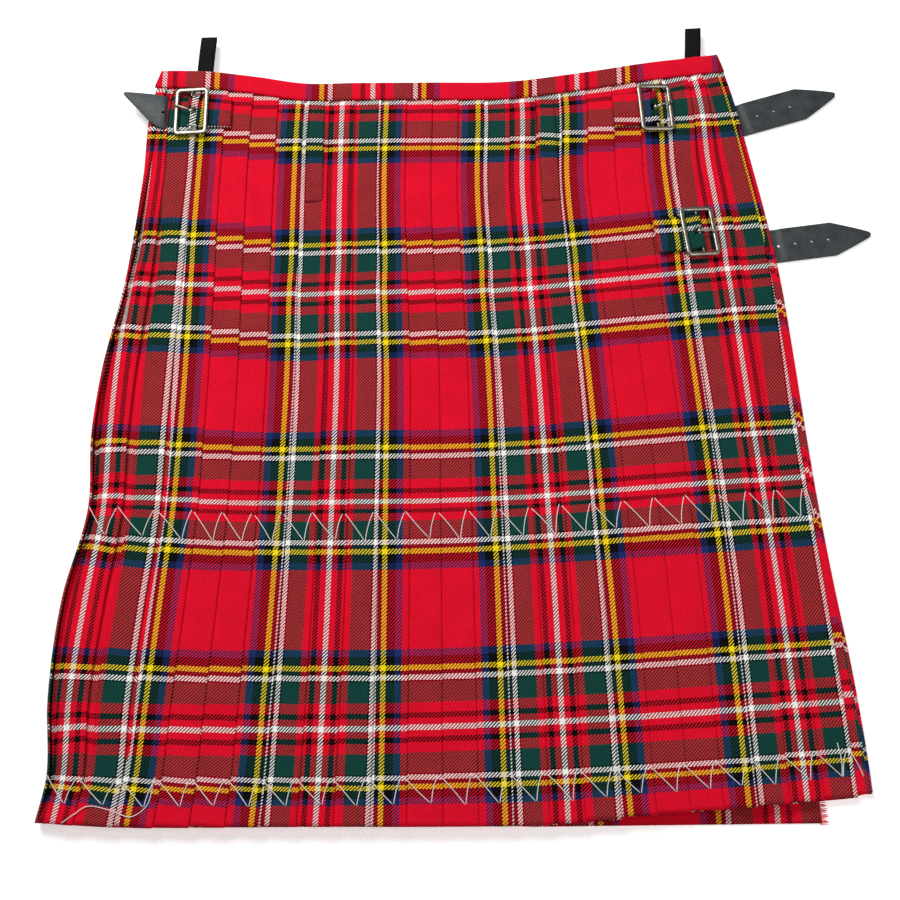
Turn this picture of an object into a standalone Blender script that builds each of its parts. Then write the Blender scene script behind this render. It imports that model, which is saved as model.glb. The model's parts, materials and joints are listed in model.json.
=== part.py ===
"""A Scottish kilt laid flat with its pleated back up.

The layers lie on each other from the ground up: over apron, under apron, pleated back.
The back is one wall of cloth that zigzags through every knife pleat.  +X is the viewer's
right, +Y runs up to the waist, +Z is up, and the object stands on z = 0.
"""

import math

import bmesh
import bpy
import numpy as np
from mathutils import Euler, Matrix, Vector

# ---------------------------------------------------------------- driving sizes, mm
MM = 0.001
ORIGIN = (23.58, 48.01)  # middle of the outline in the garment's own coordinates
PLY = 1.0  # one thickness of kilt cloth
GAP = 0.3  # air between two layers
LAYER = PLY + GAP
PLEATS = 23
PANELS = PLEATS + 1  # visible faces of the back, counted from the left edge
BAND_HEIGHT = 16.5
BAND_FOOT = 0.6  # air between the pleats' top end and the band's lower edges
BAND_EDGE_OUTER, BAND_EDGE_INNER = 0.8, 1.6  # its top fold rounds off over these heights
FREE_EDGE_INSET = 3.0  # hidden folds keep this far inside the left edge

# The rows bow up beyond these folds: an S-curve on the left, a power curve on the right.
LEFT_BOW_END, LEFT_BOW_FOLDS = 7.5, 5.5
RIGHT_BOW_START, RIGHT_BOW_POWER = 13.5, 0.95

# One row of the back for each height, top to hem.
#   y            height of the row on the centre line
#   rise_left    how far the row bows up at the left edge, rise_right at the right edge
#   back_z       underside of the pleat stack
#   depth        how many pitches a pleat's hidden part reaches back
#   seam         distance of the seam with the over apron from the left edge
ROW_COLUMNS = ("y", "rise_left", "rise_right", "back_z", "depth", "seam")
ROWS = {
    "band": (317.5, 11.0, 28.0, 6.5, 1, 11.0),
    "waist": (304.0, 11.0, 28.5, 6.5, 1, 11.0),
    "hip": (221.0, 10.0, 27.0, 2.6, 3, 6.0),
    "fell": (136.0, 8.5, 26.0, 2.6, 3, 3.5),
    "seat": (57.0, 5.5, 26.0, 2.6, 3, 3.5),
    "thigh": (-116.0, 2.0, 21.5, 2.6, 3, 3.5),
    "hem": (-280.0, 2.5, 24.0, 2.6, 3, 3.5),
}
# Where chosen folds of the back cross each row; the folds between them are evenly spaced.
KEY_FOLDS = (0, 1, 3, 7, 11, 17, 21, 23, 24)
FOLD_X = {
    "band": (-240.5, -225.0, -184.0, -99.5, -14.8, 111.5, 193.0, 219.0, 225.5),
    "waist": (-245.0, -227.8, -185.2, -100.0, -14.8, 113.0, 197.0, 223.0, 230.0),
    "hip": (-251.0, -231.0, -188.3, -100.4, -16.0, 112.5, 203.0, 239.0, 246.5),
    "fell": (-258.5, -237.0, -188.5, -99.7, -12.3, 119.5, 212.0, 253.0, 260.5),
    "seat": (-273.0, -246.8, -189.0, -98.9, -8.7, 126.3, 219.0, 262.5, 269.8),
    "thigh": (-288.0, -256.9, -197.3, -103.0, -6.6, 138.5, 235.0, 279.0, 286.0),
    "hem": (-296.0, -269.0, -212.0, -109.8, -5.3, 147.2, 243.5, 293.4, 305.0),
}
PANEL_ROWS = tuple(name for name in ROWS if name != "band")
# Plain cloth has a point at each of these fold numbers.
FLAT_FOLDS = (0, 1, 3, 4, 5, 6, 7.5, 10, 13.5, 16, 19, 21, 22, 23, 24)

# Free edges of the aprons on the same rows, and how little the over apron's hem rises.
OVER_APRON_EDGE = dict(zip(PANEL_ROWS, (220.0, 232.0, 240.0, 248.0, 257.0, 264.0)))
OVER_APRON_RISE = dict(zip(PANEL_ROWS, (23.0, 18.0, 14.0, 10.0, 6.0, 3.0)))
UNDER_APRON_EDGE = dict(zip(PANEL_ROWS, (-226.0, -229.0, -234.0, -240.0, -250.0, -262.0)))
UNDER_APRON_Z = LAYER
# Points of the bend at an apron's folded side: height from the layer, then shift from the fold.
OVER_BEND_OUTER, OVER_BEND_INNER = ((0.3, 1.3), (1.8, 0.0)), ((1.1, 2.0), (2.2, PLY))
OVER_BEND_START = 4.5  # the over apron lies flat up to this far from the fold
UNDER_BEND = ((0.0, -3.0, -3.0), (0.2, -0.7, -1.3))  # height, outer shift, inner shift
UNDER_BEND_MIDDLE = -1.2
FRINGE_REACH = 5.5
FRINGE_SPANS = {"low": ("hem", 148.0), "high": (198.0, 262.0)}

# Straps: the length of the point, the half width, and each strap's line across the ground.
STRAP_THICK = 2.4
STRAP_SKIVED = 1.0
STRAP_HALF = 14.6
STRAP_POINT = 31.0
STRAP_TIP_HALF = 1.6
STRAP_TAPER_POWER = 0.92
SKIVE_END, FULL_START = 3.0, 6.0  # the leather thickens between these distances from the edge
TIP_NARROWING = 0.45  # of the tip's half width, at its very end
HOLE_RADIUS = 1.1
STRAP_COLUMNS = ("edge_x", "edge_y", "angle", "inside", "shown", "first_hole", "hole_pitch", "holes")
STRAPS = {
    "right_top": (242.5, 290.8, 17.0, 13.5, 85.3, 15.6, 14.7, 3),
    "right_low": (264.2, 176.2, 7.8, 23.5, 79.6, 3.2, 13.7, 4),
}
SLIT_X = (-236.3, -233.2)
SLIT_Y = (275.8, 307.6)
STRAP_LEAN = 12.0  # the left strap rests on the cloth this far past the slit
# The left strap past the slit: x, lower edge, upper edge.
LEFT_STRAP = (
    (-246.0, 284.8, 310.6),
    (-258.0, 294.9, 311.3),
    (-269.5, 304.6, 311.9),
    (-272.6, 307.9, 310.4),
)

# Buckles: centre-bar frames on folded tabs; heights are above the cloth below.
FRAME_LONG = 42.4
FRAME_SHORT = 27.6
FRAME_BAR = 3.6
FRAME_THICK = 2.8
FRAME_CORNER = 5.0
FRAME_PITCH_DEG = 6.0
PIVOT_HEIGHT = 3.1
CENTRE_BAR_RADIUS = 1.1
RUNNING_GAP = 0.35
PRONG_RADIUS = 0.95
PRONG_EYE_WIDTH = 2.6
PRONG_OVERHANG = 3.0
TAB_SLOT = 5.4
TAB_FLAT_START = -8.0  # the tab closes flat this far behind the bar
TAB_BEND_DEGREES = (-110, -70, -30, 0, 30, 70, 110)
PRONG_ROOT_OUT, PRONG_ROOT_UP = 0.55, 0.75  # where the pin leaves the eye
PRONG_TAPER = 0.7
EYE_WALL = 1.0
BUCKLE_COLUMNS = ("x", "y", "turn", "prong_turn", "tab_length", "tab_width")
BUCKLES = {
    "left": (-214.0, 290.9, 180.0, -21.0, 33.0, 27.0),
    "right_top": (170.3, 294.6, 4.0, 16.0, 35.0, 29.0),
    "right_low": (200.8, 182.6, 7.5, -6.0, 36.0, 29.0),
}

LOOP_COLUMNS = ("x_top", "x_low", "y_top", "y_low", "width")
BELT_LOOPS = {
    "left": (-111.5, -111.5, 303.4, 210.5, 14.1),
    "right": (79.0, 82.5, 306.0, 211.0, 14.1),
}
LOOP_LIFT = 1.6
HANGER_COLUMNS = ("x", "reach")
HANGERS = {"left": (-205.2, 36.0), "right": (203.9, 31.0)}
HANGER_WIDTH = 13.2
HANGER_PLY = 1.0
HANGER_Z = 9.4  # underside of the ribbon at its foot
HANGER_DROOP = 3.5

# Colour, roughness and metallic value of each stuff.
STUFFS = {
    "tartan_red": ((0.62, 0.02, 0.06), 0.9, 0.0),
    "tartan_dark": ((0.10, 0.05, 0.06), 0.9, 0.0),
    "leather_black": ((0.05, 0.055, 0.055), 0.55, 0.0),
    "nickel": ((0.72, 0.69, 0.62), 0.25, 1.0),
    "ribbon_black": ((0.02, 0.02, 0.022), 0.8, 0.0),
}


def columns(names, row):
    """A table row as a dictionary of its named columns."""
    return dict(zip(names, row))


def stuff(name):
    """The Principled material of a stuff, made once."""
    if name in bpy.data.materials:
        return bpy.data.materials[name]
    colour, roughness, metallic = STUFFS[name]
    material = bpy.data.materials.new(name)
    material.use_nodes = True
    shader = material.node_tree.nodes["Principled BSDF"]
    shader.inputs["Base Color"].default_value = (*colour, 1.0)
    shader.inputs["Roughness"].default_value = roughness
    shader.inputs["Metallic"].default_value = metallic
    return material


def placed(x, y, z):
    """A point in garment millimetres as metres about the part's origin."""
    return Vector(((x - ORIGIN[0]) * MM, (y - ORIGIN[1]) * MM, z * MM))


def scaled(x, y, z):
    """A point in an object's own millimetres as metres."""
    return Vector((x * MM, y * MM, z * MM))


def new_object(name, mesh_bm, material, parent=None, smooth=False):
    """Turn a bmesh into a named object with outward faces."""
    bmesh.ops.recalc_face_normals(mesh_bm, faces=mesh_bm.faces)
    mesh = bpy.data.meshes.new(name)
    mesh_bm.to_mesh(mesh)
    mesh_bm.free()
    if smooth:
        mesh.shade_smooth()
        mesh.set_sharp_from_angle(angle=math.radians(35))
    mesh.materials.append(stuff(material))
    thing = bpy.data.objects.new(name, mesh)
    bpy.context.scene.collection.objects.link(thing)
    thing.parent = parent
    return thing


def cut(target, cutter, operation="DIFFERENCE"):
    """Boolean a hidden cutter into the target."""
    cutter.hide_render = True
    cutter.display_type = "WIRE"
    modifier = target.modifiers.new(cutter.name, "BOOLEAN")
    modifier.operation = operation
    modifier.solver = "EXACT"
    modifier.object = cutter


def wall_mesh(sections, ring=False):
    """A closed wall through sections of (outer, inner) point pairs; a ring's pairs close on themselves."""
    mesh_bm = bmesh.new()
    rows = [[tuple(mesh_bm.verts.new(point) for point in pair) for pair in section] for section in sections]
    count = len(rows[0])
    steps = range(count if ring else count - 1)
    for upper, lower in zip(rows, rows[1:]):
        for i in steps:
            j = (i + 1) % count
            mesh_bm.faces.new((upper[i][0], upper[j][0], lower[j][0], lower[i][0]))
            mesh_bm.faces.new((upper[i][1], lower[i][1], lower[j][1], upper[j][1]))
        if not ring:
            for end in (0, count - 1):
                mesh_bm.faces.new((upper[end][0], lower[end][0], lower[end][1], upper[end][1]))
    for row in (rows[0], rows[-1]):
        for i in steps:
            j = (i + 1) % count
            mesh_bm.faces.new((row[i][0], row[i][1], row[j][1], row[j][0]))
    return mesh_bm


def box_object(name, low, high, parent=None, to_metres=placed):
    """A box between two corners in millimetres."""
    mesh_bm = bmesh.new()
    bmesh.ops.create_cube(mesh_bm, size=1.0)
    low, high = to_metres(*low), to_metres(*high)
    for vert in mesh_bm.verts:
        vert.co = Vector(low[i] + (vert.co[i] + 0.5) * (high[i] - low[i]) for i in range(3))
    return new_object(name, mesh_bm, "tartan_dark", parent)


# ---------------------------------------------------------------- rows of the back


class Row:
    """One height of the laid-out back: where its folds and layers are."""

    def __init__(self, name):
        row = columns(ROW_COLUMNS, ROWS[name])
        self.name, self.y, self.back_z = name, row["y"], row["back_z"]
        self.rise = row["rise_left"], row["rise_right"]
        self.depth, self.seam = row["depth"], row["seam"]
        self.folds = np.interp(range(PANELS + 1), KEY_FOLDS, FOLD_X[name])

    def x(self, fold):
        """Across the cloth at a fold number, which may fall between two folds."""
        return float(np.interp(fold, range(PANELS + 1), self.folds))

    def fold_at(self, x):
        """The fold number at a distance across."""
        return float(np.interp(x, self.folds, range(PANELS + 1)))

    def bow(self, fold, rise_right=None):
        """How far the row has risen above its middle at a fold number."""
        left = min(1.0, max(0.0, (LEFT_BOW_END - fold) / LEFT_BOW_FOLDS))
        right = max(0.0, (fold - RIGHT_BOW_START) / (PANELS - RIGHT_BOW_START))
        lift = self.rise[1] if rise_right is None else rise_right
        return self.rise[0] * left * left * (3 - 2 * left) + lift * right**RIGHT_BOW_POWER

    def face_z(self, panel, fold):
        """Underside of a panel's cloth at a fold number: two layers lower for each fold to the right."""
        return self.back_z + 2 * LAYER * (min(fold + self.depth + 1, PANELS) - panel)

    def top_z(self, fold):
        """A smooth cover over the highest cloth at a fold number."""
        fold = max(fold, self.seam_fold())
        turns = min(self.depth + 1, PANELS - fold, self.depth + fold)
        return self.back_z + 2 * LAYER * turns + PLY

    def point(self, fold, z, shift=0.0):
        """A point of the row, moved along X by shift."""
        return placed(self.x(fold) + shift, self.y + self.bow(fold), z)

    def seam_fold(self):
        """Fold number of the seam between the over apron and the back."""
        return self.seam / (self.folds[1] - self.folds[0])


def pleat_section(row):
    """Point pairs along the back's cloth at one row: face, fold, hidden return, fold, next face."""
    start = row.seam_fold()
    pairs = [(row.point(start, row.face_z(1, start) + PLY), row.point(start, row.face_z(1, start)))]
    for panel in range(1, PANELS):
        hidden = max(panel - row.depth, 0)
        inset = FREE_EDGE_INSET if hidden == 0 else 0.0
        face, back = row.face_z(panel, panel), row.face_z(panel, panel) - LAYER
        pairs.append((row.point(panel, face + PLY), row.point(panel, face, -PLY)))
        pairs.append((row.point(panel, back), row.point(panel, back + PLY, -PLY)))
        between = [panel - (panel - hidden) * part / 3 for part in (1, 2)]
        for fold in between:
            z = row.face_z(panel, fold) - LAYER
            pairs.append((row.point(fold, z), row.point(fold, z + PLY)))
        back, face = row.face_z(panel, hidden) - LAYER, row.face_z(panel + 1, hidden)
        pairs.append((row.point(hidden, back, inset + PLY), row.point(hidden, back + PLY, inset)))
        pairs.append((row.point(hidden, face + PLY, inset + PLY), row.point(hidden, face, inset)))
        for fold in (*reversed(between), panel):
            z = row.face_z(panel + 1, fold)
            pairs.append((row.point(fold, z + PLY), row.point(fold, z)))
    z = row.face_z(PANELS, PANELS)
    pairs.append((row.point(PANELS, z + PLY, -2 * LAYER - GAP), row.point(PANELS, z, -2 * LAYER - GAP)))
    return pairs


def over_apron_section(row):
    """The lowest layer at one row: flat from its free edge, then up round the left fold to the seam."""
    rise = OVER_APRON_RISE[row.name]

    def at(fold, z, shift=0.0):
        return placed(row.x(fold) + shift, row.y + row.bow(fold, rise), z)

    free = row.fold_at(OVER_APRON_EDGE[row.name])
    flat = [free, *(fold for fold in reversed(FLAT_FOLDS) if 1 <= fold <= 21)]
    pairs = [(at(fold, 0.0), at(fold, PLY)) for fold in flat]
    pairs.append((at(0, 0.0, OVER_BEND_START), at(0, PLY, OVER_BEND_START)))
    end = row.seam_fold()
    top = row.face_z(1, end)
    for low, turn in ((0.0, 1.0), (top + PLY, -1.0)):
        bend = [
            (at(0, low + outer[0] * turn, outer[1]), at(0, low + inner[0] * turn, inner[1]))
            for outer, inner in zip(OVER_BEND_OUTER, OVER_BEND_INNER)
        ]
        pairs += bend if turn > 0 else reversed(bend)
    shift = -GAP
    pairs.append((at(end, top + PLY, shift), at(end, top, shift)))
    return pairs


def under_apron_section(row):
    """The middle layer at one row: flat from its free edge, then up round the right fold."""
    low, high = UNDER_APRON_Z, row.back_z
    free = row.fold_at(UNDER_APRON_EDGE[row.name])
    flat = [free, *(fold for fold in FLAT_FOLDS if 3 <= fold < PANELS)]
    pairs = [(row.point(fold, low), row.point(fold, low + PLY)) for fold in flat]
    for up, outer, inner in UNDER_BEND:
        pairs.append((row.point(PANELS, low + up, outer), row.point(PANELS, low + PLY, inner)))
    middle = (low + high + PLY) / 2
    pairs.append((row.point(PANELS, middle), row.point(PANELS, middle, UNDER_BEND_MIDDLE)))
    up, outer, inner = UNDER_BEND[-1]
    pairs.append((row.point(PANELS, high + PLY - up, outer), row.point(PANELS, high, inner)))
    pairs.append((row.point(PANELS, high + PLY, -2 * LAYER), row.point(PANELS, high, -2 * LAYER)))
    return pairs


def surface_z(rows, x, y):
    """Height of the back's cover at a place in garment millimetres."""
    upward = sorted(rows, key=lambda row: row.y)
    folds = [row.fold_at(x) for row in upward]
    heights = [row.y + row.bow(fold) for row, fold in zip(upward, folds)]
    return float(np.interp(y, heights, [row.top_z(fold) for row, fold in zip(upward, folds)]))


# ---------------------------------------------------------------- cloth pieces


def build_panels(rows):
    """The back and the two aprons, with the slit that the inner strap comes through."""
    panel_rows = [row for row in rows if row.name in PANEL_ROWS]
    back = new_object("pleated_back", wall_mesh([pleat_section(row) for row in rows]), "tartan_red")
    over = new_object("over_apron", wall_mesh([over_apron_section(row) for row in panel_rows]), "tartan_red")
    under = wall_mesh([under_apron_section(row) for row in panel_rows])
    new_object("under_apron", under, "tartan_dark")
    clear_z = UNDER_APRON_Z + PLY + GAP / 2
    slit = box_object("slit_cutter", (SLIT_X[0], SLIT_Y[0], clear_z), (SLIT_X[1], SLIT_Y[1], 30.0))
    for cloth in (back, over):
        cut(cloth, slit)


def build_waistband(rows, name, low, high, trim=0.0):
    """A folded strip along the waist, open towards the hem; low and high are its under- and upper side."""
    top_row, seam_row = rows[0], rows[1]

    def pair(fold, along, outer_z, inner_z, inner_along=None):
        def at(place, z):
            part = place / (top_row.y - seam_row.y)
            x = seam_row.x(fold) + (top_row.x(fold) - seam_row.x(fold)) * part
            edge = trim if fold == 0 else -trim if fold == PANELS else 0.0
            return placed(x + edge, seam_row.y + seam_row.bow(fold) + place, z)

        return at(along, outer_z), at(along if inner_along is None else inner_along, inner_z)

    crest = BAND_HEIGHT
    sections = []
    for fold in FLAT_FOLDS:
        top = high if isinstance(high, float) else high(fold)
        sections.append(
            [
                pair(fold, BAND_FOOT, low, low + PLY),
                pair(fold, crest - BAND_EDGE_OUTER, low, low + PLY, crest - BAND_EDGE_INNER),
                pair(fold, crest, (low + top) / 2, (low + top) / 2, crest - PLY),
                pair(fold, crest - BAND_EDGE_OUTER, top, top - PLY, crest - BAND_EDGE_INNER),
                pair(fold, BAND_FOOT, top, top - PLY),
            ]
        )
    new_object(name, wall_mesh(sections), "tartan_red")


def build_fringe(rows):
    """Plain strips where the over apron's edge is frayed, clear of the straps."""
    upward = [row for row in reversed(rows) if row.name in PANEL_ROWS]
    heights, edges = [], []
    for row in upward:
        edge = OVER_APRON_EDGE[row.name]
        heights.append(row.y + row.bow(row.fold_at(edge), OVER_APRON_RISE[row.name]))
        edges.append(edge)
    for name, (start, stop) in FRINGE_SPANS.items():
        start = heights[0] if start == "hem" else start
        sections = []
        for y in np.linspace(start, stop, 6):
            x = float(np.interp(y, heights, edges)) + GAP
            sections.append([(placed(x + out, y, PLY), placed(x + out, y, 0.0)) for out in (0.0, FRINGE_REACH)])
        new_object(f"apron_fringe_{name}", wall_mesh(sections), "tartan_red")


def build_belt_loops(rows):
    """Strips sewn flat at both ends and standing slightly proud between them."""
    for name, row in BELT_LOOPS.items():
        loop = columns(LOOP_COLUMNS, row)
        sections = []
        for part in np.linspace(0.0, 1.0, 7):
            x = loop["x_top"] + (loop["x_low"] - loop["x_top"]) * part
            y = loop["y_top"] + (loop["y_low"] - loop["y_top"]) * part
            z = surface_z(rows, x, y) + GAP + LOOP_LIFT * math.sin(math.pi * part)
            sides = (x - loop["width"] / 2, x + loop["width"] / 2)
            sections.append([(placed(side, y, z + PLY), placed(side, y, z)) for side in sides])
        new_object(f"belt_loop_{name}", wall_mesh(sections), "tartan_red")


def hanger_path(foot, reach):
    """Point pairs (y, z) of a folded ribbon from its foot out to its fold and back."""
    stations = ((0.0, 0.0), (0.35, 0.12), (0.7, 0.5), (0.96, 0.95))
    lower = [(foot + reach * part, HANGER_Z - HANGER_DROOP * drop) for part, drop in stations]
    tip_y, tip_z = foot + reach, lower[-1][1] + HANGER_PLY + GAP / 2
    path = [((y, z), (y, z + HANGER_PLY)) for y, z in lower]
    path.append(((tip_y, tip_z), (tip_y - HANGER_PLY, tip_z)))
    step = HANGER_PLY + GAP
    path += [((y, z + step + HANGER_PLY), (y, z + step)) for y, z in reversed(lower)]
    return path


def build_hangers(rows):
    """Ribbon loops that leave the top fold of the waistband and droop a little."""
    for name, row in HANGERS.items():
        hanger = columns(HANGER_COLUMNS, row)
        sections = []
        for side in (-HANGER_WIDTH / 2, HANGER_WIDTH / 2):
            x = hanger["x"] + side
            foot = rows[1].y + rows[1].bow(rows[0].fold_at(x)) + BAND_HEIGHT + GAP
            path = hanger_path(foot, hanger["reach"])
            sections.append([tuple(placed(x, y, z) for y, z in pair) for pair in path])
        new_object(f"hanger_{name}", wall_mesh(sections), "ribbon_black")


# ---------------------------------------------------------------- straps


def strap_half(along, shown):
    """Half width of a pointed strap at a distance from the garment's edge."""
    to_tip = shown - along
    return STRAP_TIP_HALF + (STRAP_HALF - STRAP_TIP_HALF) * min(1.0, to_tip / STRAP_POINT) ** STRAP_TAPER_POWER


def build_edge_strap(name, row):
    """A strap sewn to the over apron's free edge: skived thin inside, full thickness outside."""
    strap = columns(STRAP_COLUMNS, row)
    angle = math.radians(strap["angle"])
    forward = Vector((math.cos(angle), math.sin(angle)))
    across = Vector((-forward.y, forward.x))
    edge = Vector((strap["edge_x"], strap["edge_y"]))
    point_start = strap["shown"] - STRAP_POINT
    stations = [-strap["inside"], SKIVE_END, FULL_START, point_start * 0.6, point_start]
    stations += [strap["shown"] - STRAP_POINT * part for part in (0.75, 0.5, 0.25, 0.06, 0.0)]
    sections = []
    for along in stations:
        thick = STRAP_SKIVED if along <= SKIVE_END else STRAP_THICK
        half = strap_half(along, strap["shown"])
        if along == strap["shown"]:
            half *= TIP_NARROWING
        centre = edge + forward * along
        sides = (centre + across * half, centre - across * half)
        sections.append([(placed(*side, thick), placed(*side, 0.0)) for side in sides])
    leather = new_object(f"strap_{name}", wall_mesh(sections), "leather_black")
    for hole in range(int(strap["holes"])):
        spot = edge + forward * (strap["first_hole"] + hole * strap["hole_pitch"])
        mesh_bm = bmesh.new()
        bmesh.ops.create_cone(
            mesh_bm, cap_ends=True, segments=10, radius1=HOLE_RADIUS * MM, radius2=HOLE_RADIUS * MM, depth=0.02
        )
        punch = new_object(f"punch_{name}_{hole + 1}", mesh_bm, "leather_black")
        punch.location = placed(*spot, 0.0)
        cut(leather, punch)


def build_slit_strap(rows):
    """The under apron's strap: up through the slit, over the edge of it, and out to the left."""
    corners = [(x, y) for x in (SLIT_X[0] - STRAP_LEAN, SLIT_X[1]) for y in SLIT_Y]
    level = max(surface_z(rows, *corner) for corner in corners) + GAP
    near, far = SLIT_X[1] - 0.4, SLIT_X[0] + 0.5
    low, high = SLIT_Y[0] + 0.8, SLIT_Y[1] - 0.8
    foot = UNDER_APRON_Z + PLY + GAP
    profile = [
        ((near, foot), (far, foot), low, high),
        ((near, level), (far, level - 0.2), low, high),
        ((near - 1.0, level + STRAP_THICK - 0.5), (far - 0.8, level), low, high),
        ((near - 3.0, level + STRAP_THICK), (far - 2.0, level), low + 1.0, high + 0.6),
    ]
    for row in LEFT_STRAP:
        x, y_low, y_high = row
        profile.append(((x, level + STRAP_THICK), (x, level), y_low, y_high))
    sections = []
    for outer, inner, y_low, y_high in profile:
        sides = (y_high, y_low)
        sections.append([(placed(outer[0], y, outer[1]), placed(inner[0], y, inner[1])) for y in sides])
    new_object("strap_left", wall_mesh(sections), "leather_black")


# ---------------------------------------------------------------- buckles


def frame_mesh():
    """A rounded-rectangle ring of nearly square bar, soft on every edge, about its own centre."""
    half_x, half_y = (FRAME_SHORT - FRAME_BAR) / 2, (FRAME_LONG - FRAME_BAR) / 2
    radius = FRAME_CORNER - FRAME_BAR / 2
    path = []
    for corner, (sign_x, sign_y) in enumerate(((1, 1), (-1, 1), (-1, -1), (1, -1))):
        for step in range(4):
            turn = math.radians(90 * corner + 30 * step)
            direction = Vector((math.cos(turn), math.sin(turn)))
            centre = Vector((sign_x * (half_x - radius), sign_y * (half_y - radius)))
            path.append((centre + direction * radius, direction))
    wide, tall, soft = FRAME_BAR / 2, FRAME_THICK / 2, 0.8
    outline = [
        (wide, -tall + soft), (wide, tall - soft), (wide - soft, tall), (soft - wide, tall),
        (-wide, tall - soft), (-wide, soft - tall), (soft - wide, -tall), (wide - soft, -tall),
    ]
    mesh_bm = bmesh.new()
    rings = []
    for spot, direction in path:
        rings.append([mesh_bm.verts.new(scaled(*(spot + direction * out), up)) for out, up in outline])
    for ring, following in zip(rings, rings[1:] + rings[:1]):
        for i in range(len(outline)):
            j = (i + 1) % len(outline)
            mesh_bm.faces.new((ring[i], ring[j], following[j], following[i]))
    return mesh_bm


def rod_mesh(radius_start, radius_end, start, end, sides):
    """A straight rod between two points in millimetres."""
    start, end = scaled(*start), scaled(*end)
    axis = end - start
    mesh_bm = bmesh.new()
    bmesh.ops.create_cone(
        mesh_bm, cap_ends=True, segments=sides, radius1=radius_start * MM, radius2=radius_end * MM,
        depth=axis.length,
    )
    turn = axis.to_track_quat("Z", "Y").to_matrix().to_4x4()
    bmesh.ops.transform(mesh_bm, matrix=Matrix.Translation((start + end) / 2) @ turn, verts=mesh_bm.verts)
    return mesh_bm


def build_frame(name, pivot):
    """The frame and its centre bar, tilted so that its free side rests on the cloth."""
    frame = new_object(f"buckle_{name}", frame_mesh(), "nickel", pivot, smooth=True)
    frame.rotation_euler = Euler((0.0, math.radians(FRAME_PITCH_DEG), 0.0))
    reach = FRAME_LONG / 2 - FRAME_BAR / 2
    bar = rod_mesh(CENTRE_BAR_RADIUS, CENTRE_BAR_RADIUS, (0, -reach, 0), (0, reach, 0), 12)
    bar = new_object(f"bar_{name}", bar, "nickel", pivot)
    cut(frame, bar, "UNION")


def build_prong(name, pivot, turn):
    """An eye round the centre bar and a tapered pin that lies on the frame's free side."""
    eye_hole = CENTRE_BAR_RADIUS + RUNNING_GAP
    eye_out = eye_hole + EYE_WALL
    sections = []
    for side in (-PRONG_EYE_WIDTH / 2, PRONG_EYE_WIDTH / 2):
        ring = []
        for step in range(12):
            angle = math.tau * step / 12
            spoke = (math.cos(angle), math.sin(angle))
            ring.append(tuple(scaled(spoke[0] * r, side, spoke[1] * r) for r in (eye_out, eye_hole)))
        sections.append(ring)
    prong = new_object(f"prong_{name}", wall_mesh(sections, ring=True), "nickel", pivot, smooth=True)
    rest_x = (FRAME_SHORT - FRAME_BAR) / 2
    pitch = math.radians(FRAME_PITCH_DEG)
    crown = FRAME_THICK / 2 * math.cos(pitch) + PRONG_RADIUS + GAP
    rest_z = crown - rest_x * math.sin(pitch)
    swing = math.tan(math.radians(turn))
    root_x = eye_hole + PRONG_ROOT_OUT
    root = (root_x, root_x * swing, PRONG_ROOT_UP)
    tip_x = rest_x + PRONG_OVERHANG
    tip = (tip_x, tip_x * swing, rest_z + (rest_z - root[2]) * PRONG_OVERHANG / (rest_x - root[0]))
    pin = rod_mesh(PRONG_RADIUS, PRONG_RADIUS * PRONG_TAPER, root, tip, 10)
    pin = new_object(f"pin_{name}", pin, "nickel", pivot)
    cut(prong, pin, "UNION")


def build_tab(name, pivot, length, width):
    """Folded cloth round the centre bar, its two layers running back under the frame's other side."""
    loop_in = CENTRE_BAR_RADIUS + RUNNING_GAP
    loop_out = loop_in + PLY
    base = -PIVOT_HEIGHT + GAP
    flat = base + 2 * PLY + GAP
    profile = [((-length, base), (-length + PLY, base + PLY))]
    profile.append(((TAB_FLAT_START, base), (TAB_FLAT_START, base + PLY)))
    for degrees in TAB_BEND_DEGREES:
        angle = math.radians(degrees)
        spoke = (math.cos(angle), math.sin(angle))
        outer_z = max(spoke[1] * loop_out, base)
        profile.append(((spoke[0] * loop_out, outer_z), (spoke[0] * loop_in, spoke[1] * loop_in)))
    profile.append(((TAB_FLAT_START, flat), (TAB_FLAT_START, base + PLY + GAP)))
    profile.append(((-length, flat), (-length + PLY, base + PLY + GAP)))
    sections = []
    for side in (-width / 2, width / 2):
        sections.append([tuple(scaled(x, side, z) for x, z in pair) for pair in profile])
    tab = new_object(f"tab_{name}", wall_mesh(sections, ring=True), "tartan_red", pivot)
    slot = box_object(
        f"slot_cutter_{name}", (-6.0, -TAB_SLOT / 2, -6.0), (6.0, TAB_SLOT / 2, 6.0), pivot, scaled
    )
    cut(tab, slot)


def build_buckles(rows):
    """Each buckle hangs on an empty that lies on the cloth at its centre bar."""
    for name, row in BUCKLES.items():
        buckle = columns(BUCKLE_COLUMNS, row)
        turn = math.radians(buckle["turn"])
        forward = Vector((math.cos(turn), math.sin(turn)))
        spot = Vector((buckle["x"], buckle["y"]))
        ahead, behind = spot + forward * FRAME_SHORT / 2, spot - forward * buckle["tab_length"]
        run = ahead - behind
        rise = surface_z(rows, *ahead) - surface_z(rows, *behind)
        slope = math.atan2(rise, run.length)
        here = max(
            surface_z(rows, *(behind + run * part)) - rise * part for part in np.linspace(0.0, 1.0, 9)
        )
        height = here + math.tan(slope) * (spot - behind).length + PIVOT_HEIGHT
        pivot = bpy.data.objects.new(f"pivot_{name}", None)
        bpy.context.scene.collection.objects.link(pivot)
        pivot.location = placed(*spot, height)
        pivot.rotation_euler = Euler((0.0, -slope, turn))
        build_frame(name, pivot)
        build_prong(name, pivot, buckle["prong_turn"])
        build_tab(name, pivot, buckle["tab_length"], buckle["tab_width"])


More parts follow.
